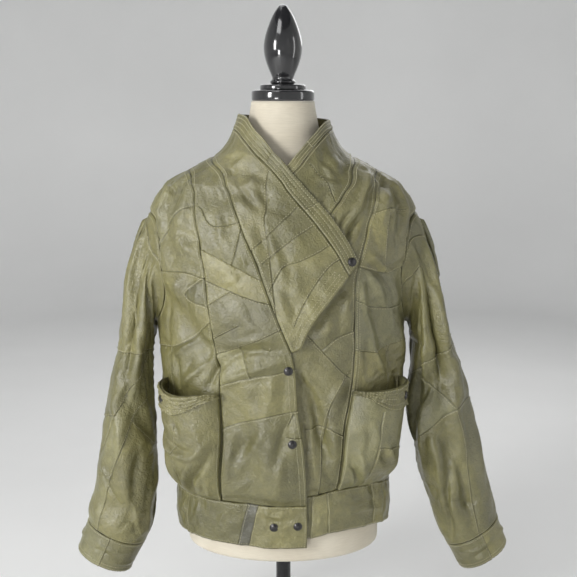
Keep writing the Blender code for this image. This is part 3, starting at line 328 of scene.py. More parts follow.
# ---------------------------------------------------------------- sizes of the shells
ROWS = (11, 5, 9)           # rows of the solids: hem seam to lapel tip, to its corner, to the shoulder
FINE_ROWS = (9, 10, 8)      # rows of a shell for each of those
SHOULDER_PARTS = (8, 6)     # rows of the back along each half of a shoulder seam
SPACING = 0.0030            # between two columns of a shell
EDGE_STEPS = (0.0009, 0.0022, 0.0042)    # closer columns beside a border, to turn its edge
EDGE_TURN = 0.0007          # a border dips by this much into its seam
EDGE_TURN_WIDTH = 0.0018
GROOVE = 0.0009             # depth of a seam between two patches
GROOVE_HALF = 0.0009
WELT = 0.0011               # the side of a seam with the allowance under it stands up by this
WELT_WIDTH = 0.0065
BORDER_WELT = 0.6           # a border's welt, as a share of a patch seam's
BORDER_WELT_AT = 0.0030
BORDER_WELT_WIDTH = 0.0022
PUCKER = 0.00070            # stitches draw the leather up and down by this much beside a seam
RIPPLE = 0.0085             # length of one pucker along a seam
PUCKER_FADE = 0.0045
SINK = 0.0012               # the leather swells up softly between its seams
SINK_WIDTH = 0.0090
SOFT = (0.0010, 0.070)      # height and size of the leather's soft unevenness
WORN = (0.0013, 0.050, 2.4, 70)     # its crumples: height, size, how much longer than wide, lean in degrees
WORN_FINE = (0.0006, 0.018, 2.2, 115)
CALM_AT_SEAM = 0.35         # share of that unevenness that is left at a seam
CALM_WIDTH = 0.015
CUT_REACH = 0.009           # faces this near a seam line are cut along it
LINE_ENDS = 0.004           # a seam line closes its patch when it ends this near a border
CHANNEL_RISE = 0.0008       # the padded rows of a band
STITCH = (0.0031, 0.00125, 0.0010)      # length, width and height of a stitch
STITCH_PROUD = 0.00022      # its middle lies this far above the leather
PITCH = 0.0042              # from one stitch to the next
SHORTEST_STEP = 0.4         # steps outside these shares of the pitch carry no stitch
LONGEST_STEP = 1.9
BACK_ROWS = (6, 6, 5, 4, 4) # rows of the back's shell for each row of its solid, hem to neck
HEAD_RINGS = 6              # rings of a sleeve's solid: over the shoulder, and down the arm
SLEEVE_RINGS = 13
FINE_HOLE = 4               # points of a sleeve's shell for each of the solid's round the armhole
FINE_HEAD = 6
FINE_SLEEVE = 9
CUFF_ROWS = 26
SIDE_COLUMNS = 8            # columns of a side panel's solid
POUCH_WIDTH = 0.125         # flattened, across and up, and the band's depth
POUCH_HEIGHT = 0.200
POUCH_BAND_DEPTH = 0.040


# ---------------------------------------------------------------- curves and tables
def smooth_step(value):
    value = np.clip(value, 0.0, 1.0)
    return value * value * (3.0 - 2.0 * value)


def curve(rows):
    """A smooth function through rows of (key, value, value, ...), free of overshoot."""
    table = np.array(rows, float)
    keys, values = table[:, 0], table[:, 1:]
    steps = np.diff(values, axis=0) / np.diff(keys)[:, None]
    before, after = steps[:-1], steps[1:]
    total = np.where(before * after > 0, before + after, 1.0)
    inner = np.where(before * after > 0, 2 * before * after / total, 0.0)
    leans = np.vstack((steps[:1], inner, steps[-1:]))

    def read(key):
        key = np.clip(np.asarray(key, float), keys[0], keys[-1])
        at = np.clip(np.searchsorted(keys, key) - 1, 0, len(keys) - 2)
        span = keys[at + 1] - keys[at]
        part = (key - keys[at]) / span
        weight = smooth_step(part)[..., None]
        lead = (part * (1 - part) ** 2 * span)[..., None]
        trail = (part * part * (part - 1) * span)[..., None]
        return (values[at] * (1 - weight) + values[at + 1] * weight
                + lead * leans[at] + trail * leans[at + 1])
    return read


read_body = curve(BODY_SECTIONS)
read_form = curve(FORM_SECTIONS)
read_lift = curve(HEM_LIFT)
read_cover = curve(COVERED_EDGE)
read_lapel_edge = curve([(height, angle) for angle, height in LAPEL_EDGE_LOW + LAPEL_EDGE_HIGH[:1]]
                        + [(0.760, 34.1)])


def catmull(points, steps):
    """A smooth line through points, each stretch cut into steps."""
    points = np.asarray(points, float)
    first = 2 * points[0] - points[1]
    last = 2 * points[-1] - points[-2]
    row = np.vstack((first, points, last))
    part = (np.arange(steps) / steps)[:, None]
    square, cube = part ** 2, part ** 3
    line = []
    for at in range(len(points) - 1):
        before, start, end, after = row[at:at + 4]
        line.append(0.5 * (2 * start + (end - before) * part
                           + (2 * before - 5 * start + 4 * end - after) * square
                           + (3 * start - before - 3 * end + after) * cube))
    return np.vstack(line + [points[-1:]])


def flatten(places, radius=MEAN_RADIUS):
    """(angle, height) to metres on the flattened body, or on a flattened sleeve."""
    places = np.asarray(places, float)
    return np.stack((np.radians(places[..., 0]) * radius, places[..., 1]), -1)


def unflatten(flat):
    return np.stack((np.degrees(flat[..., 0] / MEAN_RADIUS), flat[..., 1]), -1)


def lengths_along(line):
    return np.concatenate(([0.0], np.cumsum(np.linalg.norm(np.diff(line, axis=0), axis=1))))


def resample(line, count):
    """Splits a line into count equal lengths."""
    lengths = lengths_along(line)
    goals = np.linspace(0, lengths[-1], count + 1)
    return np.stack([np.interp(goals, lengths, line[:, k]) for k in range(line.shape[1])], -1)


def chain(stretches, counts, fine):
    """One seam, flattened, from stretches of (angle, height) points."""
    line = []
    for stretch, count, times in zip(stretches, counts, fine):
        part = resample(catmull(flatten(stretch), 12), count * times)
        line.append(part[1:] if line else part)
    return np.vstack(line)


def mirrored(points, about=0.0):
    return tuple((2 * about - angle, height) for angle, height in points)


def unevenness(across, along, size, seed, waves=9):
    """A soft random field of about -1 to 1 whose bumps have the given size."""
    draws = np.random.RandomState(seed)
    total = np.zeros(np.shape(across))
    for _ in range(waves):
        way = draws.uniform(0, 2 * math.pi)
        wave = size * draws.uniform(0.6, 1.6)
        start = draws.uniform(0, 2 * math.pi)
        total += np.cos((across * math.cos(way) + along * math.sin(way)) * 2 * math.pi / wave + start)
    return total / math.sqrt(waves)


# ---------------------------------------------------------------- the hollow body surface
def body_point(angle, height, lifted):
    half_width, front, back = np.moveaxis(read_body(height), -1, 0)
    turn = np.radians(angle)
    depth = np.where(np.cos(turn) > 0, front, back)
    up = HEM_HEIGHT + height
    if lifted:
        fade = 1 - smooth_step((height - LIFT_FADES_FROM) / (LIFT_ENDS_AT - LIFT_FADES_FROM))
        up = up + read_lift(angle)[..., 0] * fade
    return np.stack((half_width * np.sin(turn), -depth * np.cos(turn), up), -1)


def unit(vectors):
    return vectors / np.maximum(np.linalg.norm(vectors, axis=-1, keepdims=True), 1e-12)


def slope_normal(point_at, angle, height):
    turn = math.degrees(SAMPLE / MEAN_RADIUS)
    across = point_at(angle + turn, height) - point_at(angle - turn, height)
    up = point_at(angle, height + SAMPLE) - point_at(angle, height - SAMPLE)
    return unit(np.cross(across, up))


def fold_depth(fold_rows, angle, height, radius):
    """How far the solids' folds push a point out (or in, when negative)."""
    total = np.zeros(np.shape(angle))
    for fold in fold_rows:
        middle = (fold.angle_from + fold.angle_to) / 2
        near_angle = angle + 360 * np.round((middle - angle) / 360)
        start = np.array((math.radians(fold.angle_from) * radius, fold.height_from))
        line = np.array((math.radians(fold.angle_to) * radius, fold.height_to)) - start
        across, up = np.radians(near_angle) * radius - start[0], height - start[1]
        near = np.clip((across * line[0] + up * line[1]) / line.dot(line), 0, 1)
        apart = np.hypot(across - line[0] * near, up - line[1] * near) / fold.half_width
        total += fold.depth * (0.55 + 0.45 * np.sin(math.pi * near)) * np.exp(-apart * apart)
    return total


Crease = namedtuple("Crease", "half_width depth line")


def creases(*rows, flat=flatten):
    """Each row: half width and depth in millimetres, and the (angle, height) points it runs through."""
    return [Crease(row[0] / 1000, row[1] / 1000, catmull(flat(row[2:]), 4)) for row in rows]


def sleeve_creases(*rows):
    return creases(*rows, flat=lambda places: flatten(places, SLEEVE_RADIUS))


def pouch_creases(*rows):
    return creases(*rows, flat=lambda shares: np.array(shares) * (POUCH_WIDTH, POUCH_HEIGHT))


def crease_depth(rows, spots, around=None):
    """Finer creases: sharper than a fold, steeper on one side, and running out at their ends."""
    total = np.zeros(len(spots))
    for at, crease in enumerate(rows):
        near = spots
        if around:
            turns = np.round((crease.line[:, 0].mean() - spots[:, 0]) / around)
            near = spots + np.stack((turns * around, np.zeros(len(spots))), -1)
        reach = crease.half_width * 3
        low, high = crease.line.min(0) - reach, crease.line.max(0) + reach
        close = np.flatnonzero(((near > low) & (near < high)).all(1))
        if not len(close):
            continue
        apart, sign, run = distance_to(near[close], crease.line)
        part = run / lengths_along(crease.line)[-1]
        ends = np.sin(math.pi * np.clip((part + 0.10) / 1.20, 0, 1)) ** 0.7
        steep = np.where(sign * (1 - 2 * (at % 2)) > 0, 1.25, 0.80)
        total[close] += crease.depth * ends * np.exp(-(apart / crease.half_width * steep) ** 1.7)
    return total


def crumple(flat, size, long, lean, seed):
    """Crossing crests, longer one way than the other, as in leather that has been worn."""
    way = math.radians(lean)
    along = flat[:, 0] * math.cos(way) + flat[:, 1] * math.sin(way)
    across = flat[:, 1] * math.cos(way) - flat[:, 0] * math.sin(way)
    bend = 0.35 * size * unevenness(flat[:, 0], flat[:, 1], size * 3, seed + 7)
    field = unevenness(along / long + bend, across + bend, size, seed)
    share = smooth_step(0.5 + 0.8 * unevenness(flat[:, 0], flat[:, 1], size * 3.5, seed + 5))
    return (1 - np.sqrt(field * field + 0.01) * 1.3) * share


def surface(fold_rows, creases, lifted, out=None):
    """The outer face of a piece: the body surface with its folds and creases."""
    def plain(angle, height):
        return body_point(angle, height, lifted)

    def point_at(angle, height):
        push = fold_depth(fold_rows, angle, height, MEAN_RADIUS)
        spots = flatten(np.stack((angle, height), -1))
        push = push + crease_depth(creases, spots, 2 * math.pi * MEAN_RADIUS)
        if out:
            push = push + out(angle, height)
        return plain(angle, height) + slope_normal(plain, angle, height) * push[..., None]
    return point_at


# ---------------------------------------------------------------- creases and seams of the shells
RIGHT_CREASES = creases(
    (5, -8, (-76.2, 0.6191), (-64, 0.6057), (-61.3, 0.5896)),
    (6, -7, (-67.6, 0.6252), (-56.1, 0.6101), (-52.5, 0.5812)),
    (6, 7, (-67.2, 0.6186), (-58, 0.5967), (-56.3, 0.5773), (-56.9, 0.5311)),
    (7, 3, (-57.5, 0.6231), (-46.7, 0.5918), (-45.1, 0.5565)),
    (10, 5, (-54.5, 0.5284), (-45.8, 0.5158), (-36.7, 0.4983)),
    (9, -4, (-51.4, 0.5455), (-43.8, 0.5341), (-38.3, 0.5287)),
    (8, 3, (-51.5, 0.4681), (-53.6, 0.4388), (-55, 0.4094)),
    (7, -3, (-46.2, 0.4582), (-48, 0.4274), (-48.4, 0.397)),
    (6, 3, (-40.3, 0.4698), (-41.2, 0.4298), (-42.4, 0.3925)),
    (6, -4, (-66.1, 0.4199), (-67.3, 0.3758), (-64.9, 0.3419)),
    (6, 5, (-56.7, 0.3306), (-50.6, 0.346), (-43.5, 0.3596)),
    (6, 6, (-33.1, 0.3329), (-41.6, 0.3086), (-52.9, 0.2729)),
    (5, -5, (-57, 0.3235), (-55.6, 0.3031), (-54.5, 0.2791)),
    (6, -5, (-45.2, 0.3295), (-48.6, 0.3105), (-50.6, 0.2954)),
    (8, 7, (-62.2, 0.3434), (-61.4, 0.3139), (-60.5, 0.2825)),
    (9, -5, (-37.8, 0.3551), (-36, 0.3369), (-39.7, 0.3008)),
    (6, -10, (-29.8, 0.3289), (-31.7, 0.311), (-35.6, 0.2852)),
    (7, 4, (-40.8, 0.3795), (-37.5, 0.3671), (-31.9, 0.3623)),
    (6, -4, (-50.7, 0.6402), (-34.8, 0.6189), (-29.1, 0.5969)),
    (5, 3, (-37.1, 0.6251), (-30.6, 0.6096), (-26.7, 0.5939)),
    (6, -3, (-41.4, 0.6167), (-36.5, 0.601), (-33.3, 0.5838)),
    (8, -4, (-24.5, 0.5751), (-23.3, 0.5563), (-23.2, 0.5342)),
    (7, 3, (-27.2, 0.5717), (-26.7, 0.5528), (-26.5, 0.5306)),
    (4, 3, (-16.8, 0.5064), (-16, 0.4953), (-15.7, 0.4841)),
    (6, -2.5, (-20, 0.4964), (-19.2, 0.4805), (-17.1, 0.4648)),
    (7, 3, (-29.4, 0.4332), (-27.7, 0.4139), (-27.1, 0.3908)),
    (7, -3, (-16, 0.4358), (-13.5, 0.4117), (-9.2, 0.3873)),
    (7, 6, (-27, 0.2954), (-17.2, 0.3135), (-8.6, 0.325), (-0.8, 0.3356)),
    (8, -8, (-28.9, 0.3155), (-21.9, 0.3397), (-13.1, 0.3498), (-3, 0.3525)),
    (8, 5, (-23.6, 0.3579), (-15.7, 0.368), (-6.5, 0.3758)),
    (6, 5, (-4.4, 0.3152), (-5.4, 0.2827), (-6.9, 0.2449)),
    (7, -4, (-9.6, 0.3062), (-10.7, 0.2786), (-12.2, 0.2543)),
    (5, -3, (0.6, 0.3067), (0.1, 0.2759), (-0.8, 0.2485)),
    (7, 5, (-8.3, 0.2207), (-14.6, 0.1779), (-22.5, 0.1328)),
    (6, 4, (-5, 0.2004), (-9.9, 0.1507), (-13.9, 0.1017)),
    (6, -4, (-11.7, 0.2167), (-18.1, 0.184), (-23.8, 0.1575)),
    (7, -6, (2, 0.2366), (-0.8, 0.1971), (-4.1, 0.1514)),
    (6, -4, (-6.9, 0.1793), (-11.9, 0.1323), (-16.5, 0.101)),
    (5, 4, (-23.2, 0.2104), (-25.9, 0.1673), (-29, 0.1187)),
    (6, 4, (1, 0.1796), (-1.3, 0.1445), (-2.4, 0.1034)),
    (5, 3, (5.3, 0.2175), (4.3, 0.1724), (4.5, 0.1108)),
    (3.5, 3, (-9, 0.066), (-4, 0.060), (2, 0.064)),
    (3.5, -3, (-10, 0.056), (-3, 0.050), (5, 0.054)),
    (3.5, 2.5, (-8, 0.044), (0, 0.040), (6, 0.046)),
    (4, -3, (-41, 0.070), (-38, 0.048), (-40, 0.020)),
    (4, 3, (-49, 0.070), (-50, 0.045), (-47, 0.018)),
    (4, 3, (-30, 0.062), (-34, 0.040), (-32, 0.015)),
    (4, -3, (-66, 0.066), (-69, 0.040), (-66, 0.020)),
)
LAPEL_CREASES = creases(
    (5, -6, (-43.7, 0.6525), (-30.2, 0.6357), (-20.6, 0.6172)),
    (6, -8, (-21.6, 0.6172), (-16, 0.6001), (-10.7, 0.583)),
    (5, 4, (-29.6, 0.6325), (-20.9, 0.6109), (-18.4, 0.6015)),
    (6, 5, (-21.6, 0.5966), (-16.2, 0.5859), (-11.4, 0.5752)),
    (6, 5, (-56.4, 0.6629), (-39.7, 0.6689), (-20.7, 0.6617)),
    (6, 4, (-36.9, 0.6481), (-32.7, 0.6612), (-18.8, 0.657)),
    (3.5, 4.5, (-17.2, 0.63), (-14.4, 0.6206), (-11.6, 0.6176), (-8.4, 0.6169)),
    (6, -4, (-21.4, 0.6393), (-16.4, 0.6332), (-9.4, 0.6287)),
    (5, -5, (-10.4, 0.6113), (-8.2, 0.5988), (-6.6, 0.5816)),
    (5, 5, (-6.5, 0.5552), (-5, 0.5334), (-2.6, 0.5084), (-0.6, 0.4863), (1.4, 0.4609)),
    (7, -3.5, (-9.7, 0.5457), (-7.4, 0.5208), (-5.1, 0.4894)),
    (7, -3, (-2.6, 0.5365), (0.6, 0.5084), (3, 0.4799)),
    (5, -4, (1, 0.4513), (3.1, 0.4351), (5.6, 0.4139)),
    (6, 3, (5.4, 0.4861), (6.7, 0.4607), (7.6, 0.4349)),
    (5, 3.5, (8.4, 0.451), (10.1, 0.4363), (12.3, 0.4199)),
    (6, 3, (-12.8, 0.5611), (-12.1, 0.5393), (-11.1, 0.5174)),
    (7, -3.5, (-5, 0.5801), (-1, 0.5739), (3.7, 0.5708)),
    (8, 2.5, (1.3, 0.5553), (5.3, 0.5365), (7, 0.5145)),
    (6, 2.5, (11.9, 0.4984), (14.5, 0.4823), (19.7, 0.4722)),
    (5, 3, (-1.1, 0.4449), (0.6, 0.419), (3.1, 0.3962)),
)
LEFT_CREASES = creases(
    (4, 5, (29.6, 0.6465), (29.6, 0.6401), (27.7, 0.6305)),
    (4, 4.5, (20.8, 0.6293), (23.2, 0.6228), (28.4, 0.6193)),
    (4, -6, (20.3, 0.6055), (17.8, 0.5961), (15.4, 0.5852)),
    (6, -4, (38.3, 0.6638), (28, 0.6482), (23.5, 0.6324)),
    (7, -4, (63.9, 0.6621), (46.3, 0.6471), (33.9, 0.6285)),
    (6, 3.5, (46.9, 0.66), (37.4, 0.6444), (33.4, 0.6318)),
    (5, 3, (23.3, 0.6005), (21.1, 0.5849), (19, 0.5724)),
    (4.5, 7, (69.6, 0.6433), (45.5, 0.6179), (34.6, 0.5836), (28.4, 0.5605), (23.4, 0.5421)),
    (8, -5, (76.8, 0.6376), (47.9, 0.6111), (38.9, 0.5831), (33.7, 0.5583)),
    (4, -9, (33.1, 0.5663), (30.3, 0.5476), (27.4, 0.5257)),
    (4.5, -7, (29, 0.5747), (25.9, 0.5624), (22.9, 0.5485)),
    (6, 5, (36.7, 0.5674), (34, 0.5422), (30.4, 0.5204)),
    (4, -8, (73.9, 0.6295), (54.2, 0.6136), (47, 0.595)),
    (3.5, -6, (72.4, 0.6246), (59.4, 0.613), (54.3, 0.6005)),
    (5, -6, (68.6, 0.6168), (66.5, 0.6037), (64.1, 0.5875)),
    (6, 4, (55.4, 0.6069), (48.6, 0.5818), (46.1, 0.5563)),
    (7, 4, (57.1, 0.587), (53.7, 0.5548), (54.4, 0.5251)),
    (8, -3, (40.1, 0.5541), (43.1, 0.531), (45.2, 0.511)),
    (9, 4, (48.2, 0.5494), (49.7, 0.5263), (49.3, 0.5034)),
    (5, 5, (37.6, 0.5046), (44.3, 0.4949), (50.7, 0.4799), (59.5, 0.472)),
    (6, -5, (39.5, 0.4928), (45.9, 0.478), (53.8, 0.4589)),
    (5, 6, (37, 0.4853), (45.2, 0.4568), (54.2, 0.4115)),
    (6, -5, (38.7, 0.4702), (41.6, 0.4463), (44.3, 0.4221)),
    (7, -4, (47.5, 0.4677), (56.3, 0.4412), (61.2, 0.4084)),
    (4.5, 5, (35.8, 0.4612), (38.5, 0.4307), (42.2, 0.396), (47.2, 0.358)),
    (7, -4, (45.1, 0.4184), (49.1, 0.3864), (52, 0.3574)),
    (7, 4, (55.9, 0.4142), (58.4, 0.3855), (57.3, 0.3548)),
    (5, 6, (44.2, 0.3662), (49.2, 0.3271), (55.5, 0.279)),
    (6, -6, (40.9, 0.3555), (41.2, 0.3274), (41.2, 0.2982)),
    (6, -5, (58.4, 0.3366), (61.9, 0.3054), (69.3, 0.2667)),
    (5, 4, (28.2, 0.4614), (29.9, 0.4265), (30.7, 0.3864)),
    (6, -4, (26.1, 0.4241), (25.7, 0.4012), (25.6, 0.3777)),
    (6, 3, (21.3, 0.4054), (19.7, 0.379), (18, 0.3592)),
    (5, 6, (7.5, 0.3195), (11.8, 0.3013), (15.7, 0.2805), (19.8, 0.2382)),
    (6, -9, (7.5, 0.3018), (13.8, 0.2683), (16.8, 0.2079), (21.9, 0.1458)),
    (7, 4, (20.8, 0.2323), (22.9, 0.1931), (26.1, 0.1484)),
    (5, 5, (27.7, 0.3022), (24.7, 0.2794), (21.8, 0.2543)),
    (6, -4, (31.2, 0.284), (28.1, 0.2513), (27.1, 0.2136)),
    (6, 5, (13.8, 0.2278), (12.9, 0.1796), (14.9, 0.1262)),
    (5, -4, (10.9, 0.1914), (10.5, 0.1463), (11.9, 0.1001)),
    (5, -3, (18.9, 0.1461), (21.1, 0.1178), (26.1, 0.09)),
    (6, 3, (25, 0.2033), (24.5, 0.1613), (26.6, 0.1091)),
    (7, -9, (30.5, 0.468), (23.5, 0.436), (15, 0.395), (10.5, 0.362)),
    (5, -7, (8.5, 0.330), (9, 0.250), (11.8, 0.186), (14.4, 0.090)),
    (4, 3.5, (30, 0.062), (42, 0.055), (54, 0.059)),
    (4, -3.5, (32, 0.050), (44, 0.043), (58, 0.048)),
    (4, 3, (36, 0.030), (48, 0.034), (62, 0.026)),
    (4, -3, (66, 0.066), (70, 0.044), (67, 0.018)),
    (4, 2.5, (16, 0.050), (19, 0.036), (17, 0.018)),
)
BACK_CREASES = creases(
    (7, -6.8, (104, 0.6), (105.5, 0.5541), (110, 0.51)),
    (7, 6.1, (114, 0.6), (118.2, 0.5507), (119, 0.5)),
    (7, -6.8, (256, 0.6), (254.5, 0.5541), (250, 0.51)),
    (7, 6.1, (246, 0.6), (241.3, 0.5509), (240, 0.5)),
    (8, -6.8, (108, 0.45), (122.7, 0.4174), (140, 0.4)),
    (8, 6.1, (112, 0.42), (129.6, 0.3821), (150, 0.36)),
    (8, -5.1, (104, 0.38), (115.1, 0.3388), (130, 0.31)),
    (8, -6.5, (252, 0.45), (238.5, 0.4159), (222, 0.396)),
    (8, 5.8, (248, 0.41), (231.3, 0.3755), (212, 0.356)),
    (8, -5.1, (256, 0.372), (244.7, 0.3348), (230, 0.31)),
    (8, -4.4, (150, 0.52), (169.6, 0.5029), (190, 0.5)),
    (8, 4.4, (165, 0.44), (185.3, 0.4384), (205, 0.425)),
    (8, -4.4, (150, 0.33), (166.9, 0.3088), (185, 0.3)),
    (8, 4.1, (190, 0.35), (205.8, 0.3353), (220, 0.31)),
    (7, -6.8, (128, 0.24), (124.2, 0.173), (124, 0.105)),
    (7, 5.8, (140, 0.23), (140.3, 0.1673), (138, 0.105)),
    (7, -5.8, (156, 0.24), (153.7, 0.1752), (154, 0.11)),
    (7, 5.1, (170, 0.22), (169.4, 0.1623), (172, 0.105)),
    (7, -6.1, (186, 0.235), (186.7, 0.1723), (184, 0.11)),
    (7, 5.4, (200, 0.22), (200.3, 0.1622), (203, 0.105)),
    (7, -5.8, (216, 0.235), (218.3, 0.1717), (218, 0.108)),
    (7, 5.8, (232, 0.225), (232.4, 0.1645), (236, 0.105)),
    (7, -5.1, (246, 0.215), (246.9, 0.1621), (250, 0.11)),
)
RIGHT_SLEEVE_CREASES = sleeve_creases(
    (6, -8, (74, 0.024), (62, 0.058), (52, 0.119), (24, 0.185)),
    (5, 6, (70, 0.012), (42, 0.050), (12, 0.120), (0, 0.191)),
    (6, 6, (100, 0.098), (100, 0.134), (77, 0.176)),
    (7, 5, (122, 0.012), (100, 0.036), (93, 0.088)),
    (6, -5, (125, 0.028), (120, 0.060), (116, 0.109)),
    (5, 4, (140, 0.030), (138, 0.080), (140, 0.150)),
    (8, 5, (68, 0.182), (84, 0.235), (106, 0.291), (132, 0.354)),
    (8, -5, (16, 0.223), (45, 0.273), (80, 0.322)),
    (7, 5, (3, 0.282), (16, 0.332), (35, 0.382)),
    (8, 4, (87, 0.322), (100, 0.378), (112, 0.441)),
    (7, -4, (58, 0.341), (68, 0.397), (71, 0.450)),
    (5, -5, (135, 0.469), (112, 0.475), (90, 0.478)),
    (5, 5, (141, 0.459), (116, 0.462)),
    (6, -5, (68, 0.487), (48, 0.472), (10, 0.462)),
    (6, 5, (29, 0.400), (22, 0.438), (29, 0.472)),
    (6, 4, (84, 0.456), (58, 0.456), (30, 0.490)),
    (7, -4, (125, 0.332), (145, 0.394), (164, 0.462)),
    (8, -4, (196, 0.02), (200, 0.10), (198, 0.18)),
    (8, 4, (220, 0.03), (226, 0.11), (222, 0.20)),
    (7, -6, (250, 0.02), (256, 0.10), (262, 0.19)),
    (7, 5, (276, 0.03), (282, 0.12), (296, 0.20)),
    (8, -5, (330, 0.21), (290, 0.24), (250, 0.25), (222, 0.23)),
    (8, 5, (326, 0.27), (286, 0.29), (246, 0.30)),
    (8, -4, (310, 0.33), (272, 0.35), (232, 0.33)),
    (8, 4, (260, 0.37), (246, 0.43), (250, 0.49)),
    (7, -4, (286, 0.39), (276, 0.45), (280, 0.50)),
    (7, 3.5, (214, 0.35), (208, 0.42), (212, 0.49)),
)
LEFT_SLEEVE_CREASES = sleeve_creases(
    (5, 8, (100, 0.040), (106, 0.089), (116, 0.145), (116, 0.212), (115, 0.253)),
    (6, -9, (84, 0.068), (90, 0.163), (100, 0.244), (109, 0.272)),
    (6, 5, (61, 0.028), (45, 0.022), (36, 0.024)),
    (5, 6, (48, 0.099), (58, 0.177), (48, 0.221)),
    (4, 5, (68, 0.163), (64, 0.208)),
    (10, -12, (61, 0.104), (40, 0.150), (22, 0.200), (4, 0.245)),
    (9, -12, (36, 0.247), (13, 0.247), (-8, 0.255)),
    (5, -11, (77, 0.341), (80, 0.382), (61, 0.448), (42, 0.492), (22, 0.514)),
    (6, 7, (68, 0.326), (71, 0.376), (51, 0.429)),
    (6, 7, (90, 0.401), (84, 0.458)),
    (8, 6, (58, 0.234), (51, 0.278), (39, 0.322)),
    (9, -5, (119, 0.205), (116, 0.278), (129, 0.358), (129, 0.439)),
    (8, 4, (154, 0.256), (166, 0.338), (164, 0.417), (148, 0.492)),
    (6, 6, (117, 0.000), (103, 0.008), (84, 0.036)),
    (6, -7, (98, 0.000), (68, 0.012)),
    (5, -5, (71, 0.448), (90, 0.486), (112, 0.501)),
    (6, -4, (140, 0.040), (146, 0.100), (144, 0.160)),
    (8, 4, (196, 0.03), (204, 0.11), (200, 0.20)),
    (7, -6, (222, 0.02), (230, 0.10), (226, 0.18)),
    (7, 6, (250, 0.03), (258, 0.10), (268, 0.19)),
    (7, -6, (280, 0.03), (288, 0.10), (296, 0.18)),
    (8, -7, (334, 0.22), (292, 0.25), (250, 0.26), (222, 0.24)),
    (8, 6, (330, 0.28), (290, 0.30), (246, 0.31)),
    (8, -5, (312, 0.34), (274, 0.36), (234, 0.34)),
    (8, 5, (262, 0.38), (248, 0.43), (252, 0.49)),
    (7, -5, (288, 0.40), (278, 0.45), (282, 0.50)),
    (7, 4, (214, 0.35), (208, 0.42), (212, 0.49)),
)
RIGHT_POUCH_CREASES = pouch_creases(
    (5, -9, (0.94, 0.66), (0.74, 0.57), (0.56, 0.51), (0.33, 0.495)),
    (5, 7, (0.90, 0.57), (0.64, 0.46), (0.36, 0.43)),
    (5, 8, (0.07, 0.60), (0.13, 0.56), (0.24, 0.46), (0.36, 0.43)),
    (5, -14, (0.09, 0.50), (0.13, 0.42), (0.25, 0.31), (0.39, 0.20), (0.44, 0.04)),
    (5, 8, (0.26, 0.42), (0.40, 0.28), (0.53, 0.08)),
    (7, 6, (0.74, 0.40), (0.70, 0.26), (0.62, 0.10)),
    (5, -5, (0.18, 0.26), (0.22, 0.14), (0.24, 0.04)),
    (5, -4, (0.60, 0.76), (0.50, 0.68), (0.44, 0.60)),
    (5, 4, (0.82, 0.78), (0.74, 0.70), (0.62, 0.66)),
    (5, -6, (0.56, 0.30), (0.60, 0.18), (0.58, 0.05)),
    (4, 5, (0.12, 0.22), (0.15, 0.10), (0.16, 0.03)),
    (5, 4, (0.28, 0.70), (0.22, 0.62), (0.20, 0.52)),
)
LEFT_POUCH_CREASES = pouch_creases(
    (4.5, -14, (0.03, 0.52), (0.07, 0.30), (0.19, 0.20), (0.29, 0.03)),
    (5, 9, (0.13, 0.42), (0.25, 0.28), (0.37, 0.07)),
    (4, -9, (0.43, 0.42), (0.45, 0.34), (0.55, 0.27)),
    (5, 8, (0.50, 0.45), (0.56, 0.37), (0.66, 0.29)),
    (9, 8, (0.68, 0.37), (0.74, 0.24), (0.72, 0.10)),
    (6, -6, (0.86, 0.52), (0.90, 0.38), (0.92, 0.24)),
    (5, -5, (0.20, 0.66), (0.24, 0.54), (0.22, 0.42)),
    (5, 5, (0.30, 0.68), (0.34, 0.56), (0.34, 0.46)),
    (3.5, 5, (0.20, 0.15), (0.21, 0.02)),
    (3.5, -5, (0.36, 0.17), (0.38, 0.02)),
    (3.5, 5, (0.45, 0.16), (0.47, 0.02)),
    (3.5, -5, (0.54, 0.17), (0.56, 0.02)),
    (3.5, 4, (0.63, 0.14), (0.65, 0.02)),
)
CUFF_CREASES = sleeve_creases(
    (4, 3, (40, 0.014), (80, 0.022), (120, 0.016)),
    (4, -3, (60, 0.036), (100, 0.030), (150, 0.038)),
    (3.5, 2.5, (14, 0.038), (46, 0.044), (88, 0.042)),
    (4, 3, (150, 0.020), (176, 0.030), (200, 0.024)),
    (4, 3, (210, 0.020), (246, 0.030), (290, 0.022)),
    (4, -3, (224, 0.040), (262, 0.037), (320, 0.043)),
)

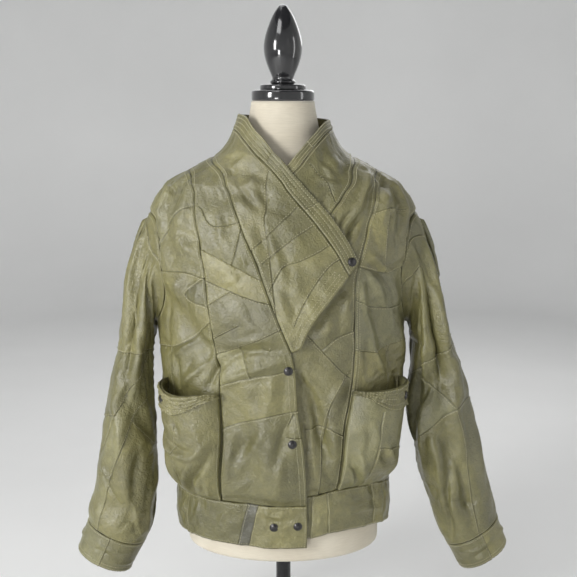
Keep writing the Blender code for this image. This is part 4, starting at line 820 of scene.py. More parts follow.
# Seams between the patches of each piece: lines through (angle, height)
PATCH_SEAMS = {
    "right_front_side": [
        ((-67, 0.471), (-58, 0.472), (-47.7, 0.474), (-34.5, 0.465)),
        ((-34.6, 0.470), (-48, 0.436), (-34.4, 0.420)),
        ((-40.8, 0.583), (-49.4, 0.569), (-60.2, 0.537), (-70, 0.500)),
        ((-31.5, 0.400), (-46.9, 0.363), (-62, 0.340), (-90, 0.332)),
        ((-62, 0.340), (-60, 0.250), (-56, 0.200)),
    ],
    "right_front_centre": [
        ((-35.0, 0.463), (-22.8, 0.448), (-12.4, 0.436), (-5.0, 0.430)),
        ((-22.8, 0.448), (-34.0, 0.424)),
        ((-36.5, 0.513), (-33.9, 0.510), (-21.9, 0.491), (-9.0, 0.468)),
        ((-19.2, 0.393), (-32.8, 0.366)),
        ((-38.2, 0.583), (-35.5, 0.577), (-29.9, 0.552), (-16.0, 0.560)),
        ((-16.6, 0.552), (-19.9, 0.508), (-21.9, 0.491)),
        ((3.0, 0.396), (-18.2, 0.357), (-33.0, 0.338)),
        ((-19.7, 0.355), (-15.7, 0.321), (-14.3, 0.304)),
        ((-31.0, 0.286), (-16.3, 0.303), (-0.3, 0.317), (6.0, 0.323)),
        ((-29.5, 0.212), (-23.7, 0.221), (-8.3, 0.240), (7.0, 0.252)),
        ((4.8, 0.246), (1.5, 0.209), (10.0, 0.205)),
    ],
    "right_lapel_collar": [
        ((-8.5, 0.642), (-6.5, 0.582), (-7.2, 0.561), (-5.3, 0.501), (-2.9, 0.415)),
        ((5.9, 0.582), (-3.9, 0.545), (-13.0, 0.514)),
        ((12.5, 0.553), (3.1, 0.529), (-8.5, 0.494)),
        ((24.0, 0.535), (17.1, 0.516), (7.3, 0.498), (0.2, 0.488), (-5.5, 0.450)),
        ((27.5, 0.505), (19.5, 0.487), (10.5, 0.440), (5.0, 0.396)),
    ],
    "left_lapel_collar": [
        ((20, 0.655), (22, 0.630), (23, 0.588)),
        ((60, 0.700), (56, 0.672), (52, 0.643)),
    ],
    "left_front_centre": [
        ((10.0, 0.382), (25.9, 0.317), (31.8, 0.298)),
        ((18.1, 0.352), (24.7, 0.371), (33.6, 0.381)),
        ((31.0, 0.310), (24.7, 0.279), (20.8, 0.238), (19.3, 0.188), (18.5, 0.080)),
        ((10.5, 0.206), (19.3, 0.210), (29.0, 0.188)),
    ],
    "left_front_side": [
        ((40.8, 0.572), (53.8, 0.578), (67.0, 0.574)),
        ((67.3, 0.478), (57.5, 0.474), (51.1, 0.471), (34.6, 0.486)),
        ((34.2, 0.432), (48.1, 0.414), (72.0, 0.414)),
        ((90.0, 0.360), (73.7, 0.355), (49.6, 0.338), (33.8, 0.347)),
        ((52, 0.578), (50, 0.530), (51.1, 0.471)),
        ((60, 0.345), (57, 0.280), (56, 0.200)),
    ],
    "back": [
        ((126, 0.650), (124, 0.540), (128, 0.440), (124, 0.300), (122, 0.080)),
        ((234, 0.650), (236, 0.540), (232, 0.440), (236, 0.300), (238, 0.080)),
        ((113, 0.500), (125, 0.512), (152, 0.540), (180, 0.520), (208, 0.546), (234, 0.516), (247, 0.505)),
        ((127, 0.430), (160, 0.455), (190, 0.430), (232, 0.452)),
        ((180, 0.520), (172, 0.442), (176, 0.345)),
        ((91, 0.345), (126, 0.372), (150, 0.330), (176, 0.345), (205, 0.322), (234, 0.360), (269, 0.340)),
        ((150, 0.330), (156, 0.230), (150, 0.080)),
        ((205, 0.322), (200, 0.220), (206, 0.080)),
        ((123, 0.240), (153, 0.222)),
        ((201, 0.215), (237, 0.232)),
        ((124, 0.300), (100, 0.262), (91, 0.268)),
        ((237, 0.270), (258, 0.250), (269, 0.244)),
        ((180, 0.520), (188, 0.640)),
        ((146, 0.538), (142, 0.600), (126, 0.622)),
    ],
    "back_collar": [
        ((150, 0.650), (152, 0.716)),
        ((212, 0.650), (210, 0.716)),
    ],
    "waistband_right_front": [
        ((-62, 0.0), (-60, 0.078)),
        ((-24, 0.0), (-18.2, 0.078)),
        ((-18, 0.0), (-12.6, 0.078)),
    ],
    "waistband_left_front": [
        ((14, 0.0), (15, 0.078)),
        ((24, 0.0), (23, 0.078)),
        ((56, 0.0), (54, 0.078)),
    ],
    "waistband_back": [
        ((118, 0.0), (120, 0.078)),
        ((166, 0.0), (162, 0.078)),
        ((206, 0.0), (209, 0.078)),
        ((240, 0.0), (238, 0.078)),
    ],
}
BAND_CUTS_RIGHT = [((-14, 0.652), (-8, 0.676)), ((8, 0.576), (15.5, 0.592))]
BAND_CUTS_LEFT = [((30, 0.673), (24, 0.692))]

# On a sleeve a seam runs through (angle round it, length down it)
SLEEVE_SEAMS = {
    "right": [
        ((-6, 0.193), (0, 0.191), (32, 0.182), (151, 0.195), (176, 0.198), (250, 0.206), (330, 0.196),
         (366, 0.193)),
        ((30, 0.184), (36, 0.205), (80, 0.248), (109, 0.301), (135, 0.347), (150, 0.372)),
        ((24, 0.268), (71, 0.307), (96, 0.369), (119, 0.444), (126, 0.560)),
        ((150, 0.014), (93, 0.020), (59, -0.004)),
        ((109, 0.301), (164, 0.319), (180, 0.324)),
        ((71, 0.307), (19, 0.350), (-6, 0.366)),
        ((186, -0.010), (180, 0.100), (180, 0.198)),
        ((176, 0.198), (180, 0.360), (178, 0.560)),
        ((180, 0.355), (250, 0.340), (330, 0.366), (354, 0.366)),
        ((258, -0.010), (262, 0.100), (256, 0.204)),
        ((262, 0.204), (270, 0.280), (264, 0.343)),
        ((296, 0.352), (290, 0.440), (296, 0.560)),
    ],
    "left": [
        ((-6, 0.228), (13, 0.224), (64, 0.199), (106, 0.190), (132, 0.180), (174, 0.172), (250, 0.195),
         (330, 0.222), (366, 0.228)),
        ((36, 0.213), (48, 0.231), (93, 0.260), (112, 0.290)),
        ((-8, 0.366), (0, 0.361), (71, 0.313), (112, 0.294), (141, 0.288), (174, 0.292)),
        ((80, 0.042), (58, 0.032), (40, -0.004)),
        ((84, 0.004), (106, 0.008), (138, 0.028), (174, 0.050)),
        ((115, 0.294), (119, 0.354), (112, 0.429), (96, 0.560)),
        ((172, -0.010), (176, 0.120), (174, 0.240), (172, 0.330), (170, 0.450), (172, 0.560)),
        ((172, 0.340), (250, 0.330), (330, 0.360), (366, 0.366)),
        ((256, -0.010), (262, 0.100), (256, 0.196)),
        ((264, 0.200), (270, 0.270), (264, 0.334)),
        ((296, 0.346), (290, 0.440), (296, 0.560)),
    ],
}
CUFF_SEAMS = {
    "right": [((94, -0.004), (94, 0.062)), ((240, -0.004), (240, 0.062))],
    "left": [((104, -0.004), (104, 0.062)), ((240, -0.004), (240, 0.062))],
}
POUCH_SEAMS = {
    "right": [((0.046, 0.0), (0.052, 0.060), (0.060, 0.155))],
    "left": [((0.042, 0.0), (0.046, 0.160)), ((0.046, 0.090), (0.125, 0.076))],
}

# Topstitching: rows along a border of each piece, so far inside it, from one share of it to another
TOPSTITCH = {
    "right_front_side": [("right", 0.0035, 0, 1), ("left", 0.0050, 0.46, 1), ("top", 0.0035, 0, 1)],
    "right_front_centre": [("left", 0.0035, 0, 1), ("right", 0.0035, 0, 1), ("right", 0.0100, 0, 0.44),
                           ("top", 0.0035, 0, 1)],
    "left_front_side": [("left", 0.0035, 0, 1), ("left", 0.0080, 0, 0.60), ("right", 0.0050, 0.46, 1),
                        ("top", 0.0035, 0, 1)],
    "left_front_centre": [("right", 0.0035, 0, 1), ("left", 0.0035, 0.45, 1), ("top", 0.0035, 0, 1)],
    "right_lapel_collar": [("left", 0.0035, 0, 1), ("right", 0.0040, 0, 0.41), ("right", 0.0090, 0, 0.41),
                           ("right", 0.0140, 0.03, 0.41), ("right", 0.0215, 0.06, 0.41),
                           ("right", 0.0030, 0.42, 1)],
    "left_lapel_collar": [("right", 0.0035, 0, 1), ("left", 0.0030, 0.42, 1)],
    "right_edge_band": [("share", share, 0, 1) for share in (0.06, 0.25, 0.5, 0.75, 0.94)],
    "left_edge_band": [("share", share, 0, 1) for share in (0.08, 0.333, 0.667, 0.92)],
    "back": [("left", 0.0050, 0.36, 1), ("right", 0.0050, 0.36, 1), ("top", 0.0035, 0, 1)],
    "back_collar": [("bottom", 0.0035, 0, 1), ("top", 0.0035, 0, 1), ("top", 0.0095, 0, 1),
                    ("top", 0.0155, 0, 1)],
    "waistband_right_front": [("top", 0.0035, 0, 1), ("bottom", 0.0035, 0, 1), ("right", 0.0035, 0, 1)],
    "waistband_left_front": [("top", 0.0035, 0, 1), ("bottom", 0.0035, 0, 1)],
    "waistband_back": [("top", 0.0035, 0, 1), ("bottom", 0.0035, 0, 1)],
}
for side in ("right", "left"):
    TOPSTITCH[side + "_sleeve"] = [("top", 0.0045, 0, 1), ("bottom", 0.0030, 0, 1)]
    TOPSTITCH[side + "_cuff"] = [("top", 0.0035, 0, 1), ("bottom", 0.0035, 0, 1), ("bottom", 0.0085, 0, 1)]
    TOPSTITCH[side + "_pocket"] = [("left", 0.0030, 0, 0.8), ("right", 0.0030, 0, 0.8)]
    TOPSTITCH[side + "_pocket_band"] = [("bottom", inside, 0, 1) for inside in (0.0025, 0.0100, 0.0200, 0.0300)]
    TOPSTITCH[side + "_pocket_band"].append(("top", 0.0025, 0, 1))

# Patches with a tint of their own: (place in their piece's patches, share of grey)
GREY_PATCHES = {"waistband_right_front": (2, 4.2), "right_front_centre": (4, 1.6),
                "left_front_centre": (2, 1.4)}


def covering(angle, height):
    edge = read_cover(height)[..., 0]
    return OVERLAP_OUT * smooth_step((angle - edge + COVER_BLEND_FAR)
                                     / (COVER_BLEND_FAR - COVER_BLEND_NEAR))


def lapel_out(angle, height):
    edge = read_lapel_edge(height)[..., 0]
    to_edge = smooth_step(1 - (edge - angle) / LAPEL_LIFT_ANGLE)
    part = np.clip((height - LAPEL_LIFT_FROM) / LAPEL_LIFT_SPAN, 0, 1)
    return covering(angle, height) + LAPEL_LIFT * to_edge * np.sin(math.pi * part)


def neck_dip(angle, height):
    round_back = np.sin(np.radians(np.clip(angle, 90, 270) - 90)) ** NECK_DIP_ROUNDNESS
    low = (NECK_POINT - NECK_BACK) * round_back
    fade = smooth_step((height - NECK_DIP_FROM) / (NECK_POINT - NECK_DIP_FROM))
    above = smooth_step((COLLAR_TOP_BACK - height) / (COLLAR_TOP_BACK - NECK_POINT))
    return low * fade * np.where(height > NECK_POINT, above, 1.0)


FRONT_AND_BACK_RIGHT = RIGHT_FRONT_FOLDS + BACK_FOLDS
right_surface = surface(FRONT_AND_BACK_RIGHT, RIGHT_CREASES, False, covering)
lapel_surface = surface(FRONT_AND_BACK_RIGHT, LAPEL_CREASES, False, lapel_out)
right_plain = surface(FRONT_AND_BACK_RIGHT, [], False, covering)
left_plain = surface(LEFT_FRONT_FOLDS + BACK_FOLDS, [], True)
left_surface = surface(LEFT_FRONT_FOLDS + BACK_FOLDS, LEFT_CREASES, True)
back_surface = surface(FRONT_AND_BACK_RIGHT + LEFT_FRONT_FOLDS, BACK_CREASES, True)


def back_dipped(angle, height):
    return back_surface(angle, height - neck_dip(angle, height))


# ---------------------------------------------------------------- flat cutting
def edge_shares(width, spacing=SPACING):
    """Shares of a width for its columns, closer together beside both borders."""
    near = [step / width for step in EDGE_STEPS]
    count = max(2, round((width - 2 * EDGE_STEPS[-1]) / spacing))
    middle = np.linspace(near[-1], 1 - near[-1], count + 1)
    return np.concatenate(([0.0], near[:-1], middle, [1 - share for share in near[-2::-1]], [1.0]))


def flat_grid(left, right, shares):
    """A flat mesh between two flattened seams; s runs up the rows and t along them."""
    maker = bmesh.new()
    rows, columns = len(left) - 1, len(shares) - 1
    bmesh.ops.create_grid(maker, x_segments=columns, y_segments=rows, size=1.0)
    up = maker.verts.layers.float.new("s")
    along = maker.verts.layers.float.new("t")
    for vert in maker.verts:
        row = round((vert.co.y + 1) / 2 * rows)
        share = shares[round((vert.co.x + 1) / 2 * columns)]
        place = left[row] * (1 - share) + right[row] * share
        vert[up] = row / rows
        vert[along] = share
        vert.co = (place[0], place[1], 0)
    return maker


def cut_line(maker, line):
    """Cuts the flat mesh along a line and beside it, so that a seam there can sink crisply."""
    faces = list(maker.faces)
    middles = np.array([face.calc_center_median()[:2] for face in faces])
    band = [face for face, apart in zip(faces, distance_to(middles, line)[0]) if apart < CUT_REACH]
    for start, end in zip(line[:-1], line[1:]):
        way = Vector((end[0] - start[0], end[1] - start[1], 0))
        long = way.length
        way = way / long
        side = Vector((way.y, -way.x, 0))
        origin = Vector((start[0], start[1], 0))
        near = []
        for face in band:
            offset = face.calc_center_median() - origin
            if -0.001 < offset.dot(way) < long + 0.001 and abs(offset.dot(side)) < 0.006:
                near.append(face)
        edges = dict.fromkeys(edge for face in near for edge in face.edges)
        verts = dict.fromkeys(vert for face in near for vert in face.verts)
        part = near + list(edges) + list(verts)
        for aside in (0.0, -GROOVE_HALF, GROOVE_HALF):
            part = bmesh.ops.bisect_plane(maker, geom=part, dist=0.00012, plane_co=origin + side * aside,
                                          plane_no=side)["geom"]
        band = list(dict.fromkeys(band + [item for item in part if isinstance(item, bmesh.types.BMFace)]))


def distance_to(points, line):
    """The least distance from each flat point to a line, its sign, and the length along the line."""
    best = np.full(len(points), 9.0)
    sign = np.ones(len(points))
    run = np.zeros(len(points))
    travelled = 0.0
    for start, end in zip(line[:-1], line[1:]):
        way = end - start
        long = math.hypot(*way)
        if long < 1e-9:
            continue
        offset = points - start
        near = np.clip(offset @ way / long ** 2, 0, 1)
        gap = offset - near[:, None] * way
        apart = np.hypot(gap[:, 0], gap[:, 1])
        closer = apart < best
        best = np.where(closer, apart, best)
        sign = np.where(closer, np.sign(offset[:, 0] * way[1] - offset[:, 1] * way[0]), sign)
        run = np.where(closer, travelled + near * long, run)
        travelled += long
    return best, sign, run


# ---------------------------------------------------------------- shells
Shell = namedtuple("Shell", "item tree corners")
shells = {}
seam_lines = {}
border_lines = {}


def grid_layers(maker):
    up = maker.verts.layers.float["s"]
    along = maker.verts.layers.float["t"]
    flat = np.array([(vert.co.x, vert.co.y) for vert in maker.verts])
    s = np.array([vert[up] for vert in maker.verts])
    t = np.array([vert[along] for vert in maker.verts])
    return flat, s, t


def sample_grid(grid, s, t):
    """Reads a grid of vectors smoothly at shares s (rows) and t (columns)."""
    rows, columns = grid.shape[0] - 1, grid.shape[1] - 1

    def weights(share, count):
        place = np.clip(share, 0, 1) * count
        low = np.clip(np.floor(place).astype(int), 0, count - 1)
        part = place - low
        square, cube = part ** 2, part ** 3
        four = (0.5 * (-part + 2 * square - cube), 0.5 * (2 - 5 * square + 3 * cube),
                0.5 * (part + 4 * square - 3 * cube), 0.5 * (cube - square))
        return [(np.clip(low + step - 1, 0, count), weight) for step, weight in enumerate(four)]

    total = np.zeros(s.shape + (grid.shape[2],))
    for row, row_weight in weights(s, rows):
        for column, column_weight in weights(t, columns):
            total += grid[row, column] * (row_weight * column_weight)[:, None]
    return total


def crossings(starts, ends, line):
    """Which of the steps from starts to ends cross a line."""
    found = np.zeros(len(starts), bool)
    way = ends - starts
    for one, two in zip(line[:-1], line[1:]):
        stretch = two - one
        across = way[:, 0] * stretch[1] - way[:, 1] * stretch[0]
        across = np.where(np.abs(across) < 1e-14, 1e-14, across)
        offset = one - starts
        on_way = (offset[:, 0] * stretch[1] - offset[:, 1] * stretch[0]) / across
        on_line = (offset[:, 0] * way[:, 1] - offset[:, 1] * way[:, 0]) / across
        found |= (on_way >= 0) & (on_way <= 1) & (on_line >= -1e-6) & (on_line <= 1 + 1e-6)
    return found


def patch_numbers(maker, lines):
    """Numbers the patches: faces that are joined without crossing a seam line."""
    maker.faces.index_update()
    middles = np.array([face.calc_center_median()[:2] for face in maker.faces])
    links = np.array([[face.index for face in edge.link_faces] for edge in maker.edges
                      if len(edge.link_faces) == 2])
    cut = np.zeros(len(links), bool)
    for line in lines:
        first, last = unit(line[0] - line[1]), unit(line[-1] - line[-2])
        longer = np.vstack((line[0] + first * LINE_ENDS, line[1:-1], line[-1] + last * LINE_ENDS))
        cut |= crossings(middles[links[:, 0]], middles[links[:, 1]], longer)
    beside = [[] for _ in middles]
    for one, two in links[~cut]:
        beside[one].append(two)
        beside[two].append(one)
    number = np.full(len(middles), -1)
    count = 0
    for start in range(len(middles)):
        if number[start] >= 0:
            continue
        number[start] = count
        found = [start]
        while found:
            for other in beside[found.pop()]:
                if number[other] < 0:
                    number[other] = count
                    found.append(other)
        count += 1
    return number, count


def relief(flat, borders, lines, seed, calm=0.0):
    """Height of the seams, welts, puckers and soft unevenness at flat points."""
    height = np.zeros(len(flat))
    nearest = np.full(len(flat), 9.0)
    for line in borders:
        apart, _, run = distance_to(flat, line)
        nearest = np.minimum(nearest, apart)
        height -= EDGE_TURN * np.exp(-(apart / EDGE_TURN_WIDTH) ** 2)
        height += ripple(apart, run, seed)
        height += WELT * BORDER_WELT * np.exp(-((apart - BORDER_WELT_AT) / BORDER_WELT_WIDTH) ** 2)
    for line in lines:
        apart, sign, run = distance_to(flat, line)
        nearest = np.minimum(nearest, apart)
        height -= GROOVE * np.clip(1 - apart / GROOVE_HALF, 0, 1)
        height += ripple(apart, run, seed)
        height += WELT * (sign > 0) * smooth_step(apart / 0.002) * smooth_step(2 - apart / WELT_WIDTH * 2)
        height -= SINK * np.exp(-(apart / SINK_WIDTH) ** 2)
    inside = CALM_AT_SEAM + (1 - CALM_AT_SEAM) * smooth_step(nearest / CALM_WIDTH)
    soft = SOFT[0] * unevenness(flat[:, 0], flat[:, 1], SOFT[1], seed + 1)
    worn = WORN[0] * crumple(flat, *WORN[1:], seed + 2) + WORN_FINE[0] * crumple(flat, *WORN_FINE[1:], seed + 3)
    return height + (soft + worn) * inside * (1 - calm), nearest


def ripple(apart, run, seed):
    """The puckers that a row of stitches draws up beside a seam."""
    wave = np.cos(run / RIPPLE * 2 * math.pi + 2.5 * unevenness(run, apart, 0.03, seed))
    uneven = 0.6 + 0.4 * unevenness(run, apart * 0, 0.05, seed + 4)
    return PUCKER * np.exp(-apart / PUCKER_FADE) * wave * uneven


def add_object(name, maker, finish):
    mesh = bpy.data.meshes.new(name)
    maker.to_mesh(mesh)
    maker.free()
    mesh.shade_smooth()
    mesh.materials.append(finish)
    item = bpy.data.objects.new(name, mesh)
    bpy.context.scene.collection.objects.link(item)
    return item


def make_shell(name, maker, place, borders, lines, seed, slot_finish, calm=0.0, merge=False, extra=None):
    """Turns a flat mesh into a piece of leather on its solid's form."""
    lines = [catmull(line, 4) if len(line) > 2 else line for line in lines]
    seam_lines[name] = lines
    if len(borders) == 4:
        border_lines[name] = dict(zip(("left", "right", "bottom", "top"), borders))
    for line in lines:
        cut_line(maker, line)
    flat, s, t = grid_layers(maker)
    number, count = patch_numbers(maker, lines)
    points, normals = place(flat, s, t)
    height, nearest = relief(flat, borders, lines, seed, calm)
    if extra:
        height = height + extra(flat, s, t)
    points = points + normals * height[:, None]
    layer = maker.loops.layers.uv.new("UVMap")
    shade = maker.loops.layers.float_color.new("patch")
    seam = maker.verts.layers.float.new("seam")
    draws = np.random.RandomState(seed)
    tints = draws.uniform(0, 1, (count, 3))
    if name in GREY_PATCHES:
        number_grey, share = GREY_PATCHES[name]
        tints[min(number_grey, count - 1)] = (0.5, share, 0.5)
    # each point's distance to its nearest seam or border, which the leather material reads to paint shade into
    # the seam grooves
    for vert, apart in zip(maker.verts, nearest):
        vert[seam] = min(apart, 0.03)
    for face in maker.faces:
        tint = (*tints[number[face.index]], 1.0)
        for loop in face.loops:
            x, y, _ = loop.vert.co
            loop[layer].uv = (x, y)
            loop[shade] = tint
    for vert, point in zip(maker.verts, points):
        vert.co = point
    if merge:
        bmesh.ops.remove_doubles(maker, verts=maker.verts, dist=0.00001)
    item = add_object(name, maker, slot_finish)
    remember(name, item)
    wall = item.modifiers.new("wall", "SOLIDIFY")
    wall.thickness = LEATHER
    wall.offset = -1
    return item


def remember(name, item):
    """Keeps a piece's flat shape, so that stitches can be set on it."""
    mesh = item.data
    mesh.calc_loop_triangles()
    count = len(mesh.loop_triangles)
    loops = np.zeros(count * 3, int)
    mesh.loop_triangles.foreach_get("loops", loops)
    uv = np.zeros(len(mesh.loops) * 2, np.float32)
    mesh.uv_layers["UVMap"].uv.foreach_get("vector", uv)
    verts = np.zeros(len(mesh.loops), int)
    mesh.loops.foreach_get("vertex_index", verts)
    places = np.zeros(len(mesh.vertices) * 3, np.float32)
    mesh.vertices.foreach_get("co", places)
    normals = np.zeros(len(mesh.vertices) * 3, np.float32)
    mesh.vertex_normals.foreach_get("vector", normals)
    flat = uv.reshape(-1, 2)[loops].astype(float)
    corners = verts[loops]
    space = np.column_stack((flat, np.zeros(len(flat))))
    tree = BVHTree.FromPolygons(space.tolist(), np.arange(count * 3).reshape(-1, 3).tolist())
    shells[name] = Shell(item, tree, (flat.reshape(-1, 3, 2), places.reshape(-1, 3)[corners].reshape(-1, 3, 3),
                                      normals.reshape(-1, 3)[corners].reshape(-1, 3, 3)))


def on_shell(name, flat):
    """Points and normals of a finished piece at flat places."""
    shell = shells[name]
    uv, places, normals = shell.corners
    found = [shell.tree.find_nearest((x, y, 0)) for x, y in flat]
    spots = np.array([place[:2] for place, _, _, _ in found])
    index = np.array([face for _, _, face, _ in found])
    a, b, c = uv[index, 0], uv[index, 1], uv[index, 2]

    def area(one, two):
        return one[:, 0] * two[:, 1] - two[:, 0] * one[:, 1]

    whole = area(b - a, c - a)
    whole = np.where(np.abs(whole) < 1e-14, 1e-14, whole)
    second = np.clip(area(spots - a, c - a) / whole, 0, 1)
    third = np.clip(area(b - a, spots - a) / whole, 0, 1)
    weights = np.stack((1 - second - third, second, third), 1)[:, :, None]
    return (weights * places[index]).sum(1), unit((weights * normals[index]).sum(1))


def body_place(point_at):
    """Places flat points of a body piece."""
    def place(flat, s, t):
        angle_height = unflatten(flat)
        angle, height = angle_height[:, 0], angle_height[:, 1]
        points = point_at(angle, height)
        normals = slope_normal(point_at, angle, height)
        return points, normals
    return place


def draw_in(left, right):
    """Moves two seams towards each other by half a seam gap."""
    way = unit(right - left)
    return left + way * SEAM_GAP / 2, right - way * SEAM_GAP / 2


def body_panel(name, left, right, point_at, seed, lines=(), finish=None, calm=0.0, spacing=SPACING,
               extra=None):
    left, right = draw_in(left, right)
    up = np.array((0.0, SEAM_GAP / 2))
    left[0], right[0] = left[0] + up, right[0] + up
    left[-1], right[-1] = left[-1] - up, right[-1] - up
    width = np.linalg.norm(right - left, axis=1).mean()
    maker = flat_grid(left, right, edge_shares(width, spacing))
    borders = (left, right, np.stack((left[0], right[0])), np.stack((left[-1], right[-1])))
    return make_shell(name, maker, body_place(point_at), borders, lines, seed, finish, calm, extra=extra)


# ---------------------------------------------------------------- body pieces
FRONT_ARMHOLE = (ARMHOLE_LOW, ARMHOLE_HIGH)
BACK_ARMHOLE_LEFT = tuple(mirrored(mirrored(stretch), 90) for stretch in FRONT_ARMHOLE)
BACK_ARMHOLE_RIGHT = tuple(mirrored(stretch, 180) for stretch in BACK_ARMHOLE_LEFT)


def panel_seams(name):
    return [flatten(line) for line in PATCH_SEAMS[name]]


def make_fronts(finish):
    side = chain((SIDE_RIGHT,) + FRONT_ARMHOLE, ROWS, FINE_ROWS)
    side_left = side * np.array((-1, 1))
    princess_right = chain(PRINCESS_RIGHT, ROWS, FINE_ROWS)
    princess_left = chain(PRINCESS_LEFT, ROWS, FINE_ROWS)
    edge_right = chain((FRONT_EDGE_RIGHT,) + LAPEL_SEAM_RIGHT, ROWS, FINE_ROWS)
    edge_left = chain((FRONT_EDGE_LEFT,) + LAPEL_SEAM_LEFT, ROWS, FINE_ROWS)
    for name, left, right, point_at, seed in (
            ("right_front_side", side, princess_right, right_surface, 11),
            ("right_front_centre", princess_right, edge_right, right_surface, 12),
            ("left_front_side", princess_left, side_left, left_surface, 13),
            ("left_front_centre", edge_left, princess_left, left_surface, 14)):
        body_panel(name, left, right, point_at, seed, panel_seams(name), finish)


def make_lapels(finish):
    upper, fine = ROWS[1:], FINE_ROWS[1:]
    seam_right = chain(LAPEL_SEAM_RIGHT, upper, fine)
    seam_left = chain(LAPEL_SEAM_LEFT, upper, fine)
    border_right = chain((LAPEL_EDGE_LOW, BAND_SEAM_RIGHT), upper, fine)
    border_left = chain((LEFT_EDGE_LOW, LEFT_BAND_SEAM), upper, fine)
    body_panel("right_lapel_collar", seam_right, border_right, lapel_surface, 15,
               panel_seams("right_lapel_collar"), finish)
    body_panel("left_lapel_collar", border_left, seam_left, left_surface, 16,
               panel_seams("left_lapel_collar"), finish)
    rows, fine = (9,), (12,)
    body_panel("right_edge_band", chain((BAND_SEAM_RIGHT,), rows, fine), chain((LAPEL_EDGE_HIGH,), rows, fine),
               lapel_surface, 17, [flatten(cut) for cut in BAND_CUTS_RIGHT], finish, 0.7, 0.0015, channels(4))
    body_panel("left_edge_band", chain((LEFT_EDGE_HIGH,), rows, fine), chain((LEFT_BAND_SEAM,), rows, fine),
               left_surface, 18, [flatten(cut) for cut in BAND_CUTS_LEFT], finish, 0.7, 0.0012, channels(3))


def channels(count, rise=CHANNEL_RISE, lengthwise=True):
    """Padded rows along a band, with a sunk stitch line between each two, puckered along them."""
    def extra(flat, s, t):
        wave = np.abs(np.sin(math.pi * count * (t if lengthwise else s))) ** 0.6
        run = flat[:, 1] + flat[:, 0] * 0.8 if lengthwise else flat[:, 0]
        pucker = unevenness(run, (t if lengthwise else s) * 0.03, 0.008, count)
        return rise * wave * (0.8 + 0.5 * pucker)
    return extra


def gathers(depth, fade):
    """Short upright gathers under a waistband's upper seam and over its hem."""
    def extra(flat, s, t):
        wave = unevenness(flat[:, 0], flat[:, 1] * 0.22, 0.011, 5)
        drawn = np.exp(-(1 - s) * WAIST_SEAM / fade) + 0.6 * np.exp(-s * WAIST_SEAM / fade)
        return depth * wave * drawn + 0.0008 * unevenness(flat[:, 0] * 0.6, flat[:, 1], 0.022, 6)
    return extra


def make_back(finish):
    counts = ROWS + SHOULDER_PARTS
    shoulder_left = (((90, SHOULDER_TIP), (90, SHOULDER_MID)), ((90, SHOULDER_MID), (90, NECK_POINT)))
    left = chain((mirrored(SIDE_RIGHT),) + BACK_ARMHOLE_LEFT + shoulder_left, counts, BACK_ROWS)
    turn = np.array((math.radians(360) * MEAN_RADIUS, 0))
    right = turn + left * np.array((-1, 1))
    body_panel("back", left, right, back_dipped, 19, panel_seams("back"), finish, 0.0, 0.0042)


def make_back_collar(finish):
    counts, fine = (5, 2), (5, 5)
    left = chain((((90, NECK_POINT), (90, 0.706)), ((90, 0.706), (90, COLLAR_TOP_LEFT))), counts, fine)
    right = chain((((270, NECK_POINT), (270, 0.707)), ((270, 0.707), (270, COLLAR_TOP_RIGHT))), counts, fine)
    body_panel("back_collar", left, right, back_dipped, 20, panel_seams("back_collar"), finish, 0.4)


def make_waistband(finish):
    for name, start, end, point_at, seed in (
            ("waistband_right_front", -90, FRONT_EDGE_RIGHT[0][0], right_surface, 21),
            ("waistband_left_front", FRONT_EDGE_LEFT[0][0], 90, left_surface, 22),
            ("waistband_back", 90, 270, back_surface, 23)):
        low, high = (start, 0.0), (start, WAIST_SEAM)
        left = resample(flatten((low, high)), 26)
        right = resample(flatten(((end, 0.0), (end, WAIST_SEAM))), 26)
        body_panel(name, left, right, point_at, seed, panel_seams(name), finish, 0.3,
                   extra=gathers(0.0008, 0.018))


# ---------------------------------------------------------------- sleeves and cuffs
def armhole_loop(side):
    """Points round one armhole and the directions into the hole, armpit first."""
    front = unflatten(chain(FRONT_ARMHOLE, ROWS[1:], (FINE_HOLE, FINE_HOLE)))
    stretches = BACK_ARMHOLE_RIGHT if side < 0 else BACK_ARMHOLE_LEFT
    back = unflatten(chain(stretches, ROWS[1:], (FINE_HOLE, FINE_HOLE)))[::-1][1:-1]
    if side > 0:
        front = front * np.array((-1, 1))
    front_surface = right_surface if side < 0 else left_surface
    points = np.vstack((front_surface(*front.T), back_surface(*back.T)))
    normals = np.vstack((slope_normal(front_surface, *front.T), slope_normal(back_surface, *back.T)))
    edge = unit(np.roll(points, -1, 0) - np.roll(points, 1, 0))
    across = unit(np.cross(normals, edge))
    toward = points.mean(0) - points
    across *= np.sign((across * toward).sum(1))[:, None]
    return points, across


def station_ring(side, station, count):
    lean = math.radians(station.lean)
    away = np.array((side * math.cos(lean), 0, math.sin(lean)))
    down = np.array((side * math.sin(lean), 0, -math.cos(lean)))
    centre = np.array((side * station.x, station.y, HEM_HEIGHT + station.height))
    turn = 2 * math.pi * np.arange(count) / count
    ring = centre - away * (station.half_width * np.cos(turn))[:, None]
    ring[:, 1] -= station.half_depth * np.sin(turn)
    return ring, down


